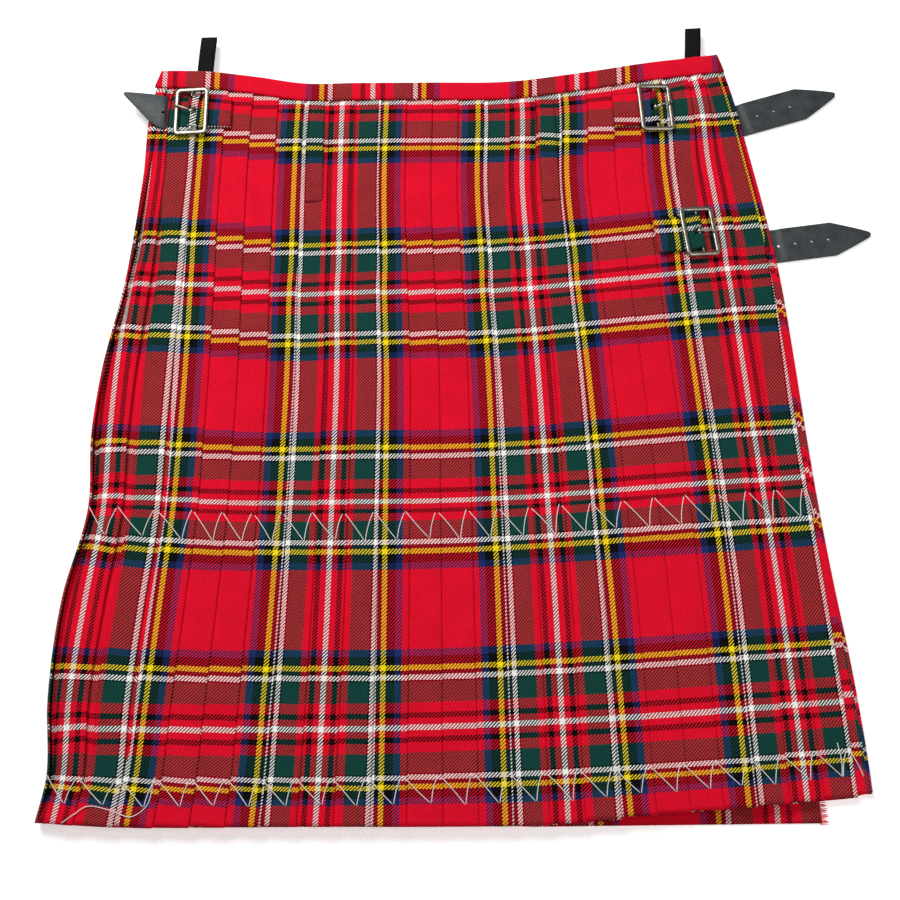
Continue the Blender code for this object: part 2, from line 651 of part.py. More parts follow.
def main():
    """Clear the scene and build every piece."""
    for thing in list(bpy.data.objects):
        bpy.data.objects.remove(thing, do_unlink=True)
    rows = [Row(name) for name in ROWS]
    build_panels(rows)
    waist = rows[1]
    build_waistband(rows, "waistband_over_apron", 0.0, 2 * PLY + GAP, trim=3.0)
    build_waistband(rows, "waistband_under_apron", 2 * LAYER, 2 * LAYER + 2 * PLY + GAP, trim=3.0)
    build_waistband(rows, "waistband_back", waist.back_z - LAYER, lambda fold: waist.top_z(fold) + LAYER)
    build_fringe(rows)
    build_belt_loops(rows)
    build_hangers(rows)
    for name, row in STRAPS.items():
        build_edge_strap(name, row)
    build_slit_strap(rows)
    build_buckles(rows)


main()
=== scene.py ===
"""A Scottish kilt laid flat with its pleated back up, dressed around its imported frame.

Garment coordinates are millimetres from a point on the kilt's centre line: +X is the viewer's
right, +Y runs up to the waist and +Z is up.  Cloth coordinates (u, v) are millimetres across
and along the woven piece, so the tartan follows every fold.
"""

import json
import logging
import math
from dataclasses import dataclass, field
from enum import Enum
from typing import Callable, Sequence

import bmesh
import bpy
import numpy as np
from mathutils import Matrix, Vector


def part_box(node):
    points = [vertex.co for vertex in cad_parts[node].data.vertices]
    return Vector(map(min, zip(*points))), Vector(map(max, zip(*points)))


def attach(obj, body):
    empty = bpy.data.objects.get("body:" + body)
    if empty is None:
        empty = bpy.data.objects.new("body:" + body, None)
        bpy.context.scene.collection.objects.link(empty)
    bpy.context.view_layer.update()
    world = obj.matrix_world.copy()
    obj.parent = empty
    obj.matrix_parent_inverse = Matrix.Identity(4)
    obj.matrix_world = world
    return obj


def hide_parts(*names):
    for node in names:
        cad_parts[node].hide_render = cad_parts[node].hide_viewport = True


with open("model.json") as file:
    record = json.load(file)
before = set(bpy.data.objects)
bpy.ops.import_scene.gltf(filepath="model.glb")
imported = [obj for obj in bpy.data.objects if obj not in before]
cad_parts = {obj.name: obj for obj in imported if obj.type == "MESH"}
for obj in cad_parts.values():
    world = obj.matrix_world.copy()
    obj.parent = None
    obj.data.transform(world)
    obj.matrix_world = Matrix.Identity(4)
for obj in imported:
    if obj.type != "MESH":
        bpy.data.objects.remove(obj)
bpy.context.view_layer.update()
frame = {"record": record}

log = logging.getLogger("kilt")

MM = 0.001
ORIGIN = np.array((23.58, 48.01, 0.0))  # the frame's origin in garment millimetres
BODY = "kilt"
SETT = 170.0  # one repeat of the tartan, across and along
SETT_THREADS = 264
THREAD = SETT / SETT_THREADS  # spacing of neighbouring yarns
CLOTH = 0.6  # thickness of the pressed wool
CAD_LAYER = 1.3  # height each layer takes in the frame
CAD_PLY = 1.0
PANELS = 24  # visible faces of the back, counted from the left edge


# ---------------------------------------------------------------- colour and nodes


def linear(code: str) -> tuple[float, float, float, float]:
    """Turn an sRGB hex value into a linear colour.

    Args:
        code: six hex digits, with or without a leading hash.

    Returns:
        Linear red, green and blue, and an alpha of one.
    """
    digits = code.lstrip("#")
    values = []
    for start in (0, 2, 4):
        value = int(digits[start : start + 2], 16) / 255
        values.append(value / 12.92 if value <= 0.04045 else ((value + 0.055) / 1.055) ** 2.4)
    return values[0], values[1], values[2], 1.0


def add_node(tree: bpy.types.NodeTree, kind: str, settings: dict | None = None, **links) -> bpy.types.Node:
    """Add a shader node with its settings and its inputs.

    Args:
        tree: the node tree to add to.
        kind: the node's type without its "ShaderNode" prefix.
        settings: attributes of the node, such as its operation.
        links: inputs by name or by "i0", "i1"; a socket is linked and anything else is set.

    Returns:
        The new node.
    """
    node = tree.nodes.new("ShaderNode" + kind)
    for name, value in (settings or {}).items():
        setattr(node, name, value)
    for name, value in links.items():
        key = int(name[1:]) if name[0] == "i" and name[1:].isdigit() else name.replace("_", " ")
        socket = node.inputs[key]
        if isinstance(value, bpy.types.NodeSocket):
            tree.links.new(value, socket)
        else:
            socket.default_value = value
    return node


def new_material(name: str) -> tuple[bpy.types.Material, bpy.types.NodeTree, bpy.types.Node]:
    """Make an empty node material.

    Args:
        name: the material's name.

    Returns:
        The material, its tree and its Principled shader.
    """
    material = bpy.data.materials.new(name)
    material.use_nodes = True
    tree = material.node_tree
    return material, tree, tree.nodes["Principled BSDF"]


class Stripe(Enum):
    """The dyed yarns of the tartan."""

    RED = "#E30A2A"
    GREEN = "#0F413A"
    BLUE = "#1B2E66"
    BLACK = "#07060A"
    YELLOW = "#FFE11C"
    WHITE = "#FFFDF8"


# Half of the sett in threads, from the middle of the fine white line to the middle of the red.
HALF_SETT: tuple[tuple[Stripe, int], ...] = (
    (Stripe.WHITE, 3),
    (Stripe.RED, 7),
    (Stripe.BLACK, 6),
    (Stripe.RED, 11),
    (Stripe.GREEN, 23),
    (Stripe.BLACK, 2),
    (Stripe.WHITE, 6),
    (Stripe.BLACK, 5),
    (Stripe.YELLOW, 6),
    (Stripe.BLACK, 10),
    (Stripe.BLUE, 8),
    (Stripe.RED, 45),
)


@dataclass(frozen=True)
class WorstedTwill:
    """Kilting wool: piece-dyed worsted yarns woven two over, two under, then pressed.

    The eye gets crisp diagonal ribs where two colours cross, with shade painted along the float
    edges, a soft matt surface and a faint halo of fibre along the folds.
    """

    name: str = "worsted_twill_tartan"
    roughness: float = 0.88
    sheen: float = 0.05
    rib_height: float = 0.16  # mm
    painted_edge_shade: float = 0.8  # painted shade: how dark a float is painted at its edges, where it dips between its neighbours
    bleed: float = 0.85  # how far light scattered between crossing yarns evens out their hue

    def sett_colour(self, tree: bpy.types.NodeTree, index: bpy.types.NodeSocket) -> bpy.types.NodeSocket:
        """Colour of the yarn at a thread count from a white line.

        Args:
            tree: the material's tree.
            index: the thread number.

        Returns:
            The yarn's colour.
        """
        half = SETT_THREADS / 2
        folded = add_node(tree, "Math", {"operation": "PINGPONG"}, i0=index, i1=half)
        share = add_node(tree, "Math", {"operation": "DIVIDE"}, i0=folded.outputs[0], i1=half)
        ramp = add_node(tree, "ValToRGB", Fac=share.outputs[0]).color_ramp
        ramp.interpolation = "CONSTANT"
        count = 0
        for number, (stripe, threads) in enumerate(HALF_SETT):
            stop = ramp.elements[0] if number == 0 else ramp.elements.new(count / half)
            stop.position = count / half
            stop.color = linear(stripe.value)
            count += threads
        while len(ramp.elements) > len(HALF_SETT):
            ramp.elements.remove(ramp.elements[-1])
        return tree.nodes[-1].outputs["Color"]

    def build(self) -> bpy.types.Material:
        """Make the material; it reads cloth millimetres from the mesh's UV map."""
        material, tree, shader = new_material(self.name)
        cloth = add_node(tree, "UVMap", {"uv_map": "cloth_mm"}).outputs["UV"]
        scale = 1 / THREAD
        threads = add_node(tree, "VectorMath", {"operation": "SCALE"}, i0=cloth, Scale=scale)
        split = add_node(tree, "SeparateXYZ", Vector=threads.outputs[0])
        warp, weft = split.outputs["X"], split.outputs["Y"]
        warp_number = add_node(tree, "Math", {"operation": "FLOOR"}, i0=warp).outputs[0]
        weft_number = add_node(tree, "Math", {"operation": "FLOOR"}, i0=weft).outputs[0]
        # Two up, two down, and one thread over with each pick, so floats line up as diagonals.
        slant = add_node(tree, "Math", {"operation": "SUBTRACT"}, i0=warp, i1=weft).outputs[0]
        step = add_node(tree, "Math", {"operation": "FLOORED_MODULO"}, i0=slant, i1=4.0)
        warp_up = add_node(tree, "Math", {"operation": "LESS_THAN"}, i0=step.outputs[0], i1=2.0)
        ends = [
            self.sett_colour(tree, add_node(tree, "Math", {"operation": "ADD"}, i0=number, i1=0.5).outputs[0])
            for number in (warp_number, weft_number)
        ]
        float_yarn = add_node(
            tree, "Mix", {"data_type": "RGBA"}, i0=warp_up.outputs[0], i6=ends[1], i7=ends[0]
        ).outputs[2]
        both = add_node(tree, "Mix", {"data_type": "RGBA"}, i0=0.5, i6=ends[1], i7=ends[0]).outputs[2]
        # The hue of both yarns at the lightness of the one on top.
        light = [add_node(tree, "RGBToBW", Color=colour).outputs[0] for colour in (float_yarn, both)]
        ratio = add_node(tree, "Math", {"operation": "DIVIDE"}, i0=light[0], i1=light[1])
        scattered = add_node(tree, "VectorMath", {"operation": "SCALE"}, i0=both, Scale=ratio.outputs[0])
        woven = add_node(
            tree, "Mix", {"data_type": "RGBA"}, i0=self.bleed, i6=float_yarn, i7=scattered.outputs[0]
        )
        # Each yarn takes the dye a little differently along its length.
        number = add_node(tree, "CombineXYZ", X=warp_number, Y=weft_number)
        yarn = add_node(tree, "TexWhiteNoise", {"noise_dimensions": "2D"}, Vector=number.outputs[0])
        cloud = add_node(
            tree, "TexNoise", {"noise_dimensions": "2D"}, Vector=cloth, Scale=0.045, Detail=3.0, Roughness=0.6
        )
        fine = add_node(tree, "MapRange", i0=yarn.outputs["Value"], i3=0.86, i4=1.1)
        broad = add_node(tree, "MapRange", i0=cloud.outputs[0], i1=0.3, i2=0.7, i3=0.93, i4=1.05)
        tone = add_node(tree, "Math", {"operation": "MULTIPLY"}, i0=fine.outputs[0], i1=broad.outputs[0])
        # Painted shade: a float dips at both edges, and the shade there is painted into the colour as a dark
        # line, only where the two yarns differ.
        wave = add_node(tree, "Math", {"operation": "MULTIPLY"}, i0=slant, i1=math.pi / 2)
        rib = add_node(tree, "Math", {"operation": "SINE"}, i0=wave.outputs[0])
        crown = add_node(tree, "Math", {"operation": "ABSOLUTE"}, i0=rib.outputs[0])
        apart = add_node(tree, "VectorMath", {"operation": "DISTANCE"}, i0=ends[0], i1=ends[1])
        painted_edge_shade = add_node(tree, "MapRange", i0=apart.outputs["Value"], i1=0.1, i2=0.8, i3=0.0, i4=self.painted_edge_shade)
        low = add_node(tree, "Math", {"operation": "SUBTRACT"}, i0=1.0, i1=painted_edge_shade.outputs[0])
        edge = add_node(tree, "MapRange", i0=crown.outputs[0], i2=0.7, i3=low.outputs[0], i4=1.0)
        tone = add_node(tree, "Math", {"operation": "MULTIPLY"}, i0=tone.outputs[0], i1=edge.outputs[0])
        colour = add_node(
            tree, "VectorMath", {"operation": "SCALE"}, i0=woven.outputs[2], Scale=tone.outputs[0]
        )
        tree.links.new(colour.outputs[0], shader.inputs["Base Color"])
        fuzz = add_node(
            tree, "TexNoise", {"noise_dimensions": "2D"}, Vector=cloth, Scale=1.1, Detail=2.0, Roughness=0.7
        )
        relief = add_node(
            tree, "Math", {"operation": "MULTIPLY_ADD"}, i0=fuzz.outputs[0], i1=1.6, i2=rib.outputs[0]
        )
        bump = add_node(tree, "Bump", Strength=0.35, Distance=self.rib_height * MM, Height=relief.outputs[0])
        tree.links.new(bump.outputs[0], shader.inputs["Normal"])
        shader.inputs["Roughness"].default_value = self.roughness
        shader.inputs["Specular IOR Level"].default_value = 0.1
        shader.inputs["Sheen Weight"].default_value = self.sheen
        shader.inputs["Sheen Roughness"].default_value = 0.45
        shader.inputs["Sheen Tint"].default_value = linear("#FFE9E6")
        return material


@dataclass(frozen=True)
class LooseWool(WorstedTwill):
    """The same yarn out of the weave: single ends, each wholly one colour."""

    name: str = "worsted_ends_tartan"

    def build(self) -> bpy.types.Material:
        """Make the material; the UV map's second value says which pick an end belongs to."""
        material, tree, shader = new_material(self.name)
        cloth = add_node(tree, "UVMap", {"uv_map": "cloth_mm"}).outputs["UV"]
        split = add_node(tree, "SeparateXYZ", Vector=cloth)
        pick = add_node(tree, "Math", {"operation": "DIVIDE"}, i0=split.outputs["Y"], i1=THREAD)
        colour = self.sett_colour(tree, pick.outputs[0])
        tree.links.new(colour, shader.inputs["Base Color"])
        shader.inputs["Roughness"].default_value = self.roughness
        shader.inputs["Specular IOR Level"].default_value = 0.18
        shader.inputs["Sheen Weight"].default_value = self.sheen
        return material


@dataclass(frozen=True)
class GrainedLeather:
    """Drum-dyed bridle leather with a printed fine grain: semi-matt, greyer where it is handled."""

    name: str = "grained_leather_black"
    face: str = "#2C3133"
    worn: str = "#3F4648"
    grain: float = 0.9  # mm between pebbles

    def build(self) -> bpy.types.Material:
        """Make the material; the grain comes from object space, in metres."""
        material, tree, shader = new_material(self.name)
        place = add_node(tree, "TexCoord").outputs["Object"]
        pebbles = add_node(
            tree, "TexVoronoi", {"feature": "DISTANCE_TO_EDGE"}, Vector=place, Scale=1 / (self.grain * MM)
        )
        mottle = add_node(tree, "TexNoise", Vector=place, Scale=90.0, Detail=4.0, Roughness=0.65)
        tone = add_node(tree, "ValToRGB", Fac=mottle.outputs[0])
        tone.color_ramp.elements[0].position, tone.color_ramp.elements[1].position = 0.35, 0.75
        tone.color_ramp.elements[0].color = linear(self.face)
        tone.color_ramp.elements[1].color = linear(self.worn)
        tree.links.new(tone.outputs[0], shader.inputs["Base Color"])
        gloss = add_node(tree, "MapRange", i0=mottle.outputs[0], i3=0.42, i4=0.62)
        tree.links.new(gloss.outputs[0], shader.inputs["Roughness"])
        dome = add_node(tree, "MapRange", i0=pebbles.outputs[0], i2=0.35)
        bump = add_node(tree, "Bump", Strength=0.5, Distance=0.12 * MM, Height=dome.outputs[0])
        tree.links.new(bump.outputs[0], shader.inputs["Normal"])
        shader.inputs["Specular IOR Level"].default_value = 0.45
        return material


@dataclass(frozen=True)
class PlatedNickel:
    """Die-cast zinc plated with nickel and tumbled: bright, faintly warm, with small handling marks."""

    name: str = "plated_nickel"
    colour: str = "#B9B4A8"
    worn: str = "#8F887A"

    def build(self) -> bpy.types.Material:
        """Make the material."""
        material, tree, shader = new_material(self.name)
        place = add_node(tree, "TexCoord").outputs["Object"]
        cloud = add_node(tree, "TexNoise", Vector=place, Scale=160.0, Detail=5.0, Roughness=0.6)
        tone = add_node(tree, "ValToRGB", Fac=cloud.outputs[0])
        tone.color_ramp.elements[0].position, tone.color_ramp.elements[1].position = 0.38, 0.7
        tone.color_ramp.elements[0].color = linear(self.colour)
        tone.color_ramp.elements[1].color = linear(self.worn)
        tree.links.new(tone.outputs[0], shader.inputs["Base Color"])
        gloss = add_node(tree, "MapRange", i0=cloud.outputs[0], i3=0.36, i4=0.5)
        tree.links.new(gloss.outputs[0], shader.inputs["Roughness"])
        bump = add_node(tree, "Bump", Strength=0.1, Distance=0.03 * MM, Height=cloud.outputs[0])
        tree.links.new(bump.outputs[0], shader.inputs["Normal"])
        shader.inputs["Metallic"].default_value = 1.0
        return material


@dataclass(frozen=True)
class RibbedTape:
    """Woven viscose tape: cross ribs a millimetre apart on black, with the light they catch painted into the
    colour as bright and dark bands.
    """

    name: str = "ribbed_tape_black"
    colour: str = "#101014"
    rib: float = 1.0  # mm

    def build(self) -> bpy.types.Material:
        """Make the material; it reads millimetres along the tape from the UV map."""
        material, tree, shader = new_material(self.name)
        along = add_node(tree, "UVMap", {"uv_map": "cloth_mm"}).outputs["UV"]
        split = add_node(tree, "SeparateXYZ", Vector=along)
        wave = add_node(
            tree, "Math", {"operation": "MULTIPLY"}, i0=split.outputs["Y"], i1=math.tau / self.rib
        )
        wave = add_node(tree, "Math", {"operation": "SINE"}, i0=wave.outputs[0])
        # Painted highlight and shade: the colour is brighter on each rib's crown and darker between ribs.
        tone = add_node(tree, "MapRange", i0=wave.outputs[0], i1=-1.0, i3=0.55, i4=1.25)
        base = add_node(tree, "RGB")
        base.outputs[0].default_value = linear(self.colour)
        colour = add_node(
            tree, "VectorMath", {"operation": "SCALE"}, i0=base.outputs[0], Scale=tone.outputs[0]
        )
        tree.links.new(colour.outputs[0], shader.inputs["Base Color"])
        bump = add_node(tree, "Bump", Strength=0.6, Distance=0.2 * MM, Height=wave.outputs[0])
        tree.links.new(bump.outputs[0], shader.inputs["Normal"])
        shader.inputs["Roughness"].default_value = 0.75
        shader.inputs["Specular IOR Level"].default_value = 0.15
        return material


@dataclass(frozen=True)
class SewingThread:
    """Spun basting cotton: two plies twisted together, off-white and matt."""

    name: str = "basting_cotton"
    colour: str = "#F3ECE6"

    def build(self) -> bpy.types.Material:
        """Make the material."""
        material, tree, shader = new_material(self.name)
        place = add_node(tree, "TexCoord").outputs["Object"]
        twist = add_node(tree, "TexNoise", Vector=place, Scale=2200.0, Detail=1.0)
        base = add_node(tree, "RGB")
        base.outputs[0].default_value = linear(self.colour)
        tone = add_node(tree, "MapRange", i0=twist.outputs[0], i3=0.8, i4=1.05)
        colour = add_node(
            tree, "VectorMath", {"operation": "SCALE"}, i0=base.outputs[0], Scale=tone.outputs[0]
        )
        tree.links.new(colour.outputs[0], shader.inputs["Base Color"])
        shader.inputs["Roughness"].default_value = 0.8
        shader.inputs["Specular IOR Level"].default_value = 0.25
        return material


# ---------------------------------------------------------------- how the kilt lies


@dataclass(frozen=True)
class LaidRow:
    """One height of the laid-out kilt, in garment millimetres.

    y is the height on the centre line, back_z the underside of the pleat stack, depth how many
    pitches a pleat reaches back and seam the strip of over apron that shows at the left edge.
    folds are where folds KEY_FOLDS cross the row.
    """

    y: float
    back_z: float
    depth: float
    seam: float
    over_edge: float
    over_rise: float
    under_edge: float
    folds: tuple[float, ...]


KEY_FOLDS = (0, 1, 3, 7, 11, 17, 21, 23, 24)
LAID_ROWS: tuple[LaidRow, ...] = (
    LaidRow(-278.9, 2.6, 3, 3.5, 268.0, 3.0, -262.0,
            (-297.0, -269.0, -212.0, -109.8, -5.3, 147.2, 243.5, 293.4, 305.5)),
    LaidRow(-245.0, 2.6, 3, 3.5, 265.5, 3.6, -259.0,
            (-291.4, -264.0, -207.5, -108.0, -5.5, 145.4, 241.8, 291.5, 303.6)),
    LaidRow(-190.0, 2.6, 3, 3.5, 260.0, 4.8, -255.0,
            (-295.0, -264.0, -203.5, -105.6, -6.0, 142.5, 239.0, 287.2, 298.2)),
    LaidRow(-116.0, 2.6, 3, 3.5, 257.0, 6.0, -250.0,
            (-290.6, -257.5, -197.5, -103.0, -6.6, 138.5, 235.0, 280.5, 288.6)),
    LaidRow(-48.0, 2.6, 3, 3.5, 253.5, 8.0, -246.0,
            (-276.2, -249.0, -192.0, -101.2, -7.4, 133.6, 229.2, 273.8, 281.0)),
    LaidRow(8.0, 2.6, 3, 3.5, 250.8, 9.2, -243.0,
            (-278.2, -248.6, -190.2, -99.9, -8.0, 130.0, 223.8, 268.6, 276.0)),
    LaidRow(57.0, 2.6, 3, 3.5, 248.0, 10.0, -240.0,
            (-274.4, -246.4, -189.0, -98.9, -8.7, 126.3, 219.0, 264.4, 272.0)),
    LaidRow(136.0, 2.6, 3, 3.5, 240.0, 14.0, -234.0,
            (-260.4, -239.4, -188.5, -99.7, -12.3, 119.5, 212.0, 256.4, 264.2)),
    LaidRow(221.0, 2.6, 3, 6.0, 232.0, 18.0, -229.0,
            (-252.2, -234.0, -188.3, -100.4, -16.0, 112.5, 203.0, 242.0, 249.6)),
    LaidRow(304.0, 6.5, 1, 11.0, 220.0, 23.0, -226.0,
            (-246.0, -230.4, -185.2, -100.0, -14.8, 113.0, 197.0, 223.4, 230.4)),
    LaidRow(317.5, 6.5, 1, 11.0, 218.0, 23.5, -225.5,
            (-241.5, -227.0, -184.0, -99.5, -14.8, 111.5, 193.0, 219.0, 226.0)),
)
# How far rows have risen above their middle, at chosen folds.
RISE_FOLDS = (0, 2, 4, 6, 8, 11, 14, 17, 20, 22, 24)
RISES: dict[float, tuple[float, ...]] = {
    -279.0: (2.5, 0.0, -0.2, 0.0, 0.0, 0.0, 1.4, 8.4, 14.0, 18.5, 24.0),
    -245.0: (-0.6, -2.8, -2.8, -2.6, -2.2, 0.0, 2.6, 6.9, 11.8, 17.0, 19.5),
    -190.0: (0.3, -1.3, -1.9, -1.7, -1.5, 0.0, 3.3, 7.9, 13.3, 17.2, 20.9),
    -75.0: (3.0, 1.1, -1.6, -1.4, -1.2, 0.0, 3.3, 8.3, 13.3, 17.4, 22.0),
    -20.0: (5.2, 2.0, -1.4, -2.1, -0.8, 0.0, 3.3, 9.3, 15.3, 19.3, 24.3),
    60.0: (5.3, 4.5, -0.3, -2.5, 0.0, 0.0, 2.5, 10.3, 17.0, 23.0, 27.0),
    170.0: (8.5, 8.3, 2.0, -2.4, -0.8, 0.0, 1.9, 8.7, 17.0, 23.5, 26.5),
    230.0: (10.0, 8.0, 3.8, -2.7, -1.0, 0.0, 0.8, 8.0, 18.0, 25.0, 28.0),
    295.0: (11.0, 10.5, 5.5, -1.0, -0.4, 0.0, 0.8, 9.5, 19.5, 24.0, 29.0),
    318.0: (11.5, 10.5, 5.5, -1.0, -0.4, 0.0, 0.8, 9.5, 20.0, 25.5, 29.5),
}
RISE_STEP = 0.25  # of a fold, between the heights a row is worked out at
# Where the weft stripes have slipped along the cloth, most of it taken up in the basted rows.
SLIPS = (
    (-280.0, -1.5), (-260.0, -0.5), (-240.0, 1.0), (-190.0, 0.5), (-140.0, 0.0), (-90.0, -1.5),
    (-62.0, -1.5), (-42.0, 2.0), (-20.0, 2.0), (57.0, 1.2), (221.0, 0.5), (317.0, 0.0),
)
OVER_RISE_START, OVER_RISE_POWER = 13.5, 0.95
WAIST_Y, FELL_Y = 304.0, 136.0
BAND_Y = 317.5  # the top edge of the waistband
WAIST_V = 2.0  # height along the cloth, in its own millimetres, at the waist row
FACE = SETT / 7  # cloth shown by each face, so seven pleats show one whole sett


def hermite(x: np.ndarray, knots: np.ndarray, values: np.ndarray) -> np.ndarray:
    """Smooth curve through values given at rising knots; values may have more columns."""
    x = np.clip(np.asarray(x, float), knots[0], knots[-1])
    slopes = np.gradient(values, knots, axis=0)
    i = np.clip(np.searchsorted(knots, x, side="right") - 1, 0, len(knots) - 2)
    span = knots[i + 1] - knots[i]
    t = (x - knots[i]) / span
    if values.ndim > 1:
        t, span = t[..., None], span[..., None]
    t2, t3 = t * t, t * t * t
    return (
        (2 * t3 - 3 * t2 + 1) * values[i]
        + (t3 - 2 * t2 + t) * span * slopes[i]
        + (3 * t2 - 2 * t3) * values[i + 1]
        + (t3 - t2) * span * slopes[i + 1]
    )


class Layout:
    """Where the laid cloth is: folds, bows and heights at any row, interpolated smoothly."""

    def __init__(self) -> None:
        """Gather the laid rows into columns."""
        self.knots = np.array([row.y for row in LAID_ROWS])
        self.fold_table = np.array(
            [np.interp(range(PANELS + 1), KEY_FOLDS, row.folds) for row in LAID_ROWS]
        )
        self.rise_knots = np.array(tuple(RISES))
        dense = np.arange(0, PANELS + RISE_STEP, RISE_STEP)
        self.rise_table = np.array(
            [hermite(dense, np.array(RISE_FOLDS, float), np.array(rises)) for rises in RISES.values()]
        )

    def value(self, name: str, y: np.ndarray) -> np.ndarray:
        """A named column of the laid rows at heights y."""
        return hermite(y, self.knots, np.array([getattr(row, name) for row in LAID_ROWS], float))

    def folds(self, y: np.ndarray) -> np.ndarray:
        """X of every fold at heights y, one line per height."""
        return hermite(np.asarray(y, float), self.knots, self.fold_table)

    def x(self, y: np.ndarray, fold: np.ndarray) -> np.ndarray:
        """X at fold numbers, which may fall between folds; y and fold have one shape."""
        y, fold = np.broadcast_arrays(np.asarray(y, float), np.asarray(fold, float))
        table = self.folds(y)
        low = np.clip(np.floor(fold).astype(int), 0, PANELS - 1)
        left = np.take_along_axis(table, low[..., None], -1)[..., 0]
        right = np.take_along_axis(table, low[..., None] + 1, -1)[..., 0]
        return left + (right - left) * (fold - low)

    def fold_at(self, y: float, x: float) -> float:
        """Fold number at a distance across."""
        return float(np.interp(x, self.folds(np.array(y)), range(PANELS + 1)))

    def bow(self, y: np.ndarray, fold: np.ndarray, over_rise: np.ndarray | None = None) -> np.ndarray:
        """How far a row has risen above its middle at fold numbers."""
        y, fold = np.broadcast_arrays(np.asarray(y, float), np.asarray(fold, float))
        table = hermite(y, self.rise_knots, self.rise_table)
        place = np.clip(fold, 0, PANELS) / RISE_STEP
        low = np.clip(np.floor(place).astype(int), 0, table.shape[-1] - 2)
        below = np.take_along_axis(table, low[..., None], -1)[..., 0]
        above = np.take_along_axis(table, low[..., None] + 1, -1)[..., 0]
        rise = below + (above - below) * (place - low)
        if over_rise is None:
            return rise
        right = np.clip((fold - OVER_RISE_START) / (PANELS - OVER_RISE_START), 0, None)
        return np.where(fold < OVER_RISE_START, rise, over_rise * right**OVER_RISE_POWER)

    def cloth_height(self, y: np.ndarray) -> np.ndarray:
        """Height along the woven piece of a garment row."""
        return y - WAIST_Y + WAIST_V + self.slip(y)

    def slip(self, y: np.ndarray) -> np.ndarray:
        """How far the weft stripes have slipped along the cloth at heights y."""
        places, shifts = np.array(SLIPS).T
        return hermite(y, places, shifts)

    def face_u(self, panel: int, y: np.ndarray, x: np.ndarray) -> np.ndarray:
        """Cloth coordinate across a face: its fold edge always shows the same warp end."""
        edge = self.x(y, panel + 0 * y)
        width = edge - self.x(y, panel - 1 + 0 * y)
        within = np.clip((y - FELL_Y) / 20.0, 0, 1)
        centred = np.clip((FACE - width) / 2, 0, None) * within
        u = SETT / 14 + (panel - 8) * FACE - (edge - x) - centred
        high = np.clip((y - 20.0) / 110.0, 0, 1)
        if panel == 1:
            u = u + 1.8 + 2.0 * high
        elif panel == 2:
            u = u + 0.6 + (1.2 + 3.5 * high) * np.clip((edge - x) / width, 0, 1)
        elif panel in (7, 14, 21):
            # The white stripe beside these folds was pleated wholly to their right.
            u = u - (3.4 - 0.9 * high) * np.clip((edge - x) / width, 0, 1)
        elif panel >= PANELS - 1:
            u = u - 3.0 * high
        return u

    def tilts(self, panel: int, y: np.ndarray) -> tuple[np.ndarray, np.ndarray, np.ndarray]:
        """Middle of a face and the slope of its weft: (x, rise, slope)."""
        middle = self.x(y, panel - 0.5 + 0 * y)
        return middle, self.bow(y, panel - 0.5 + 0 * y), self.lean(y, panel - 0.5)

    def cloth_at(self, panel: int, x: float, y: float) -> tuple[float, float]:
        """Cloth coordinates of the pattern of a face at a place, extended past its edges.

        Args:
            panel: number of the face.
            x: across, garment millimetres.
            y: up, garment millimetres.

        Returns:
            The place's u and v.
        """
        row = np.array(float(y))
        for _ in range(5):
            middle, rise, slope = self.tilts(panel, row)
            row = y - rise - slope * (x - middle)
        u = self.face_u(panel, row, np.array(float(x)))
        return float(u), float(self.cloth_height(row))

    def lean(self, y: np.ndarray, fold: float) -> np.ndarray:
        """Slope of the weft of a face: square to the way its warp leans."""
        step = 6.0
        return -(self.x(y + step, fold) - self.x(y - step, fold)) / (2 * step)

    def stack_top(self, y: np.ndarray, fold: np.ndarray) -> np.ndarray:
        """Middle of the highest layer's thickness at a fold number."""
        turns = np.minimum(self.value("depth", y) + 1, PANELS - fold)
        return self.value("back_z", y) + 2 * CAD_LAYER * turns + CAD_PLY - CLOTH / 2

    def row_at(self, x: float, y: float) -> tuple[float, float]:
        """Row height and fold number of a place on the back.

        Args:
            x: across, garment millimetres.
            y: up, garment millimetres.

        Returns:
            The row's own height and the fold number.
        """
        row = y
        for _ in range(6):
            fold = self.fold_at(row, x)
            row = y - float(self.bow(np.array(row), np.array(fold)))
        return row, fold

    def surface(self, x: float, y: float) -> float:
        """Height of the top of the pleats at a place."""
        row, fold = self.row_at(x, y)
        face = min(int(math.floor(fold)) + 1, PANELS)
        top = float(self.stack_top(np.array(row), np.array(fold)))
        return top - float(sink(np.array(face - fold))) + CLOTH / 2


def sink(turns: np.ndarray) -> np.ndarray:
    """Depth below the top of the stack after a number of pleats: pressed on top, looser below."""
    return 1.5 * turns + 0.275 * turns * turns


@dataclass(frozen=True)
class Gape:
    """A pleat that doesn't close: a soft ditch beside a fold, over a stretch of rows."""

    fold: float
    offset: float  # mm to the right of the fold
    width: float
    share: float  # how much of the stack's height is lost at its middle
    low: float
    high: float


GAPES = (
    Gape(0, 5.2, 2.6, 0.75, -285.0, 236.0),
    Gape(1, 1.6, 3.4, 0.62, -262.0, 208.0),
    Gape(2, 1.2, 2.4, 0.30, -250.0, 60.0),
    Gape(23, 1.2, 2.2, 0.35, -270.0, 60.0),
)


@dataclass(frozen=True)
class Crease:
    """A soft ridge or hollow pressed by handling."""

    x: float
    y: float
    angle: float  # degrees from +X
    length: float
    width: float
    height: float


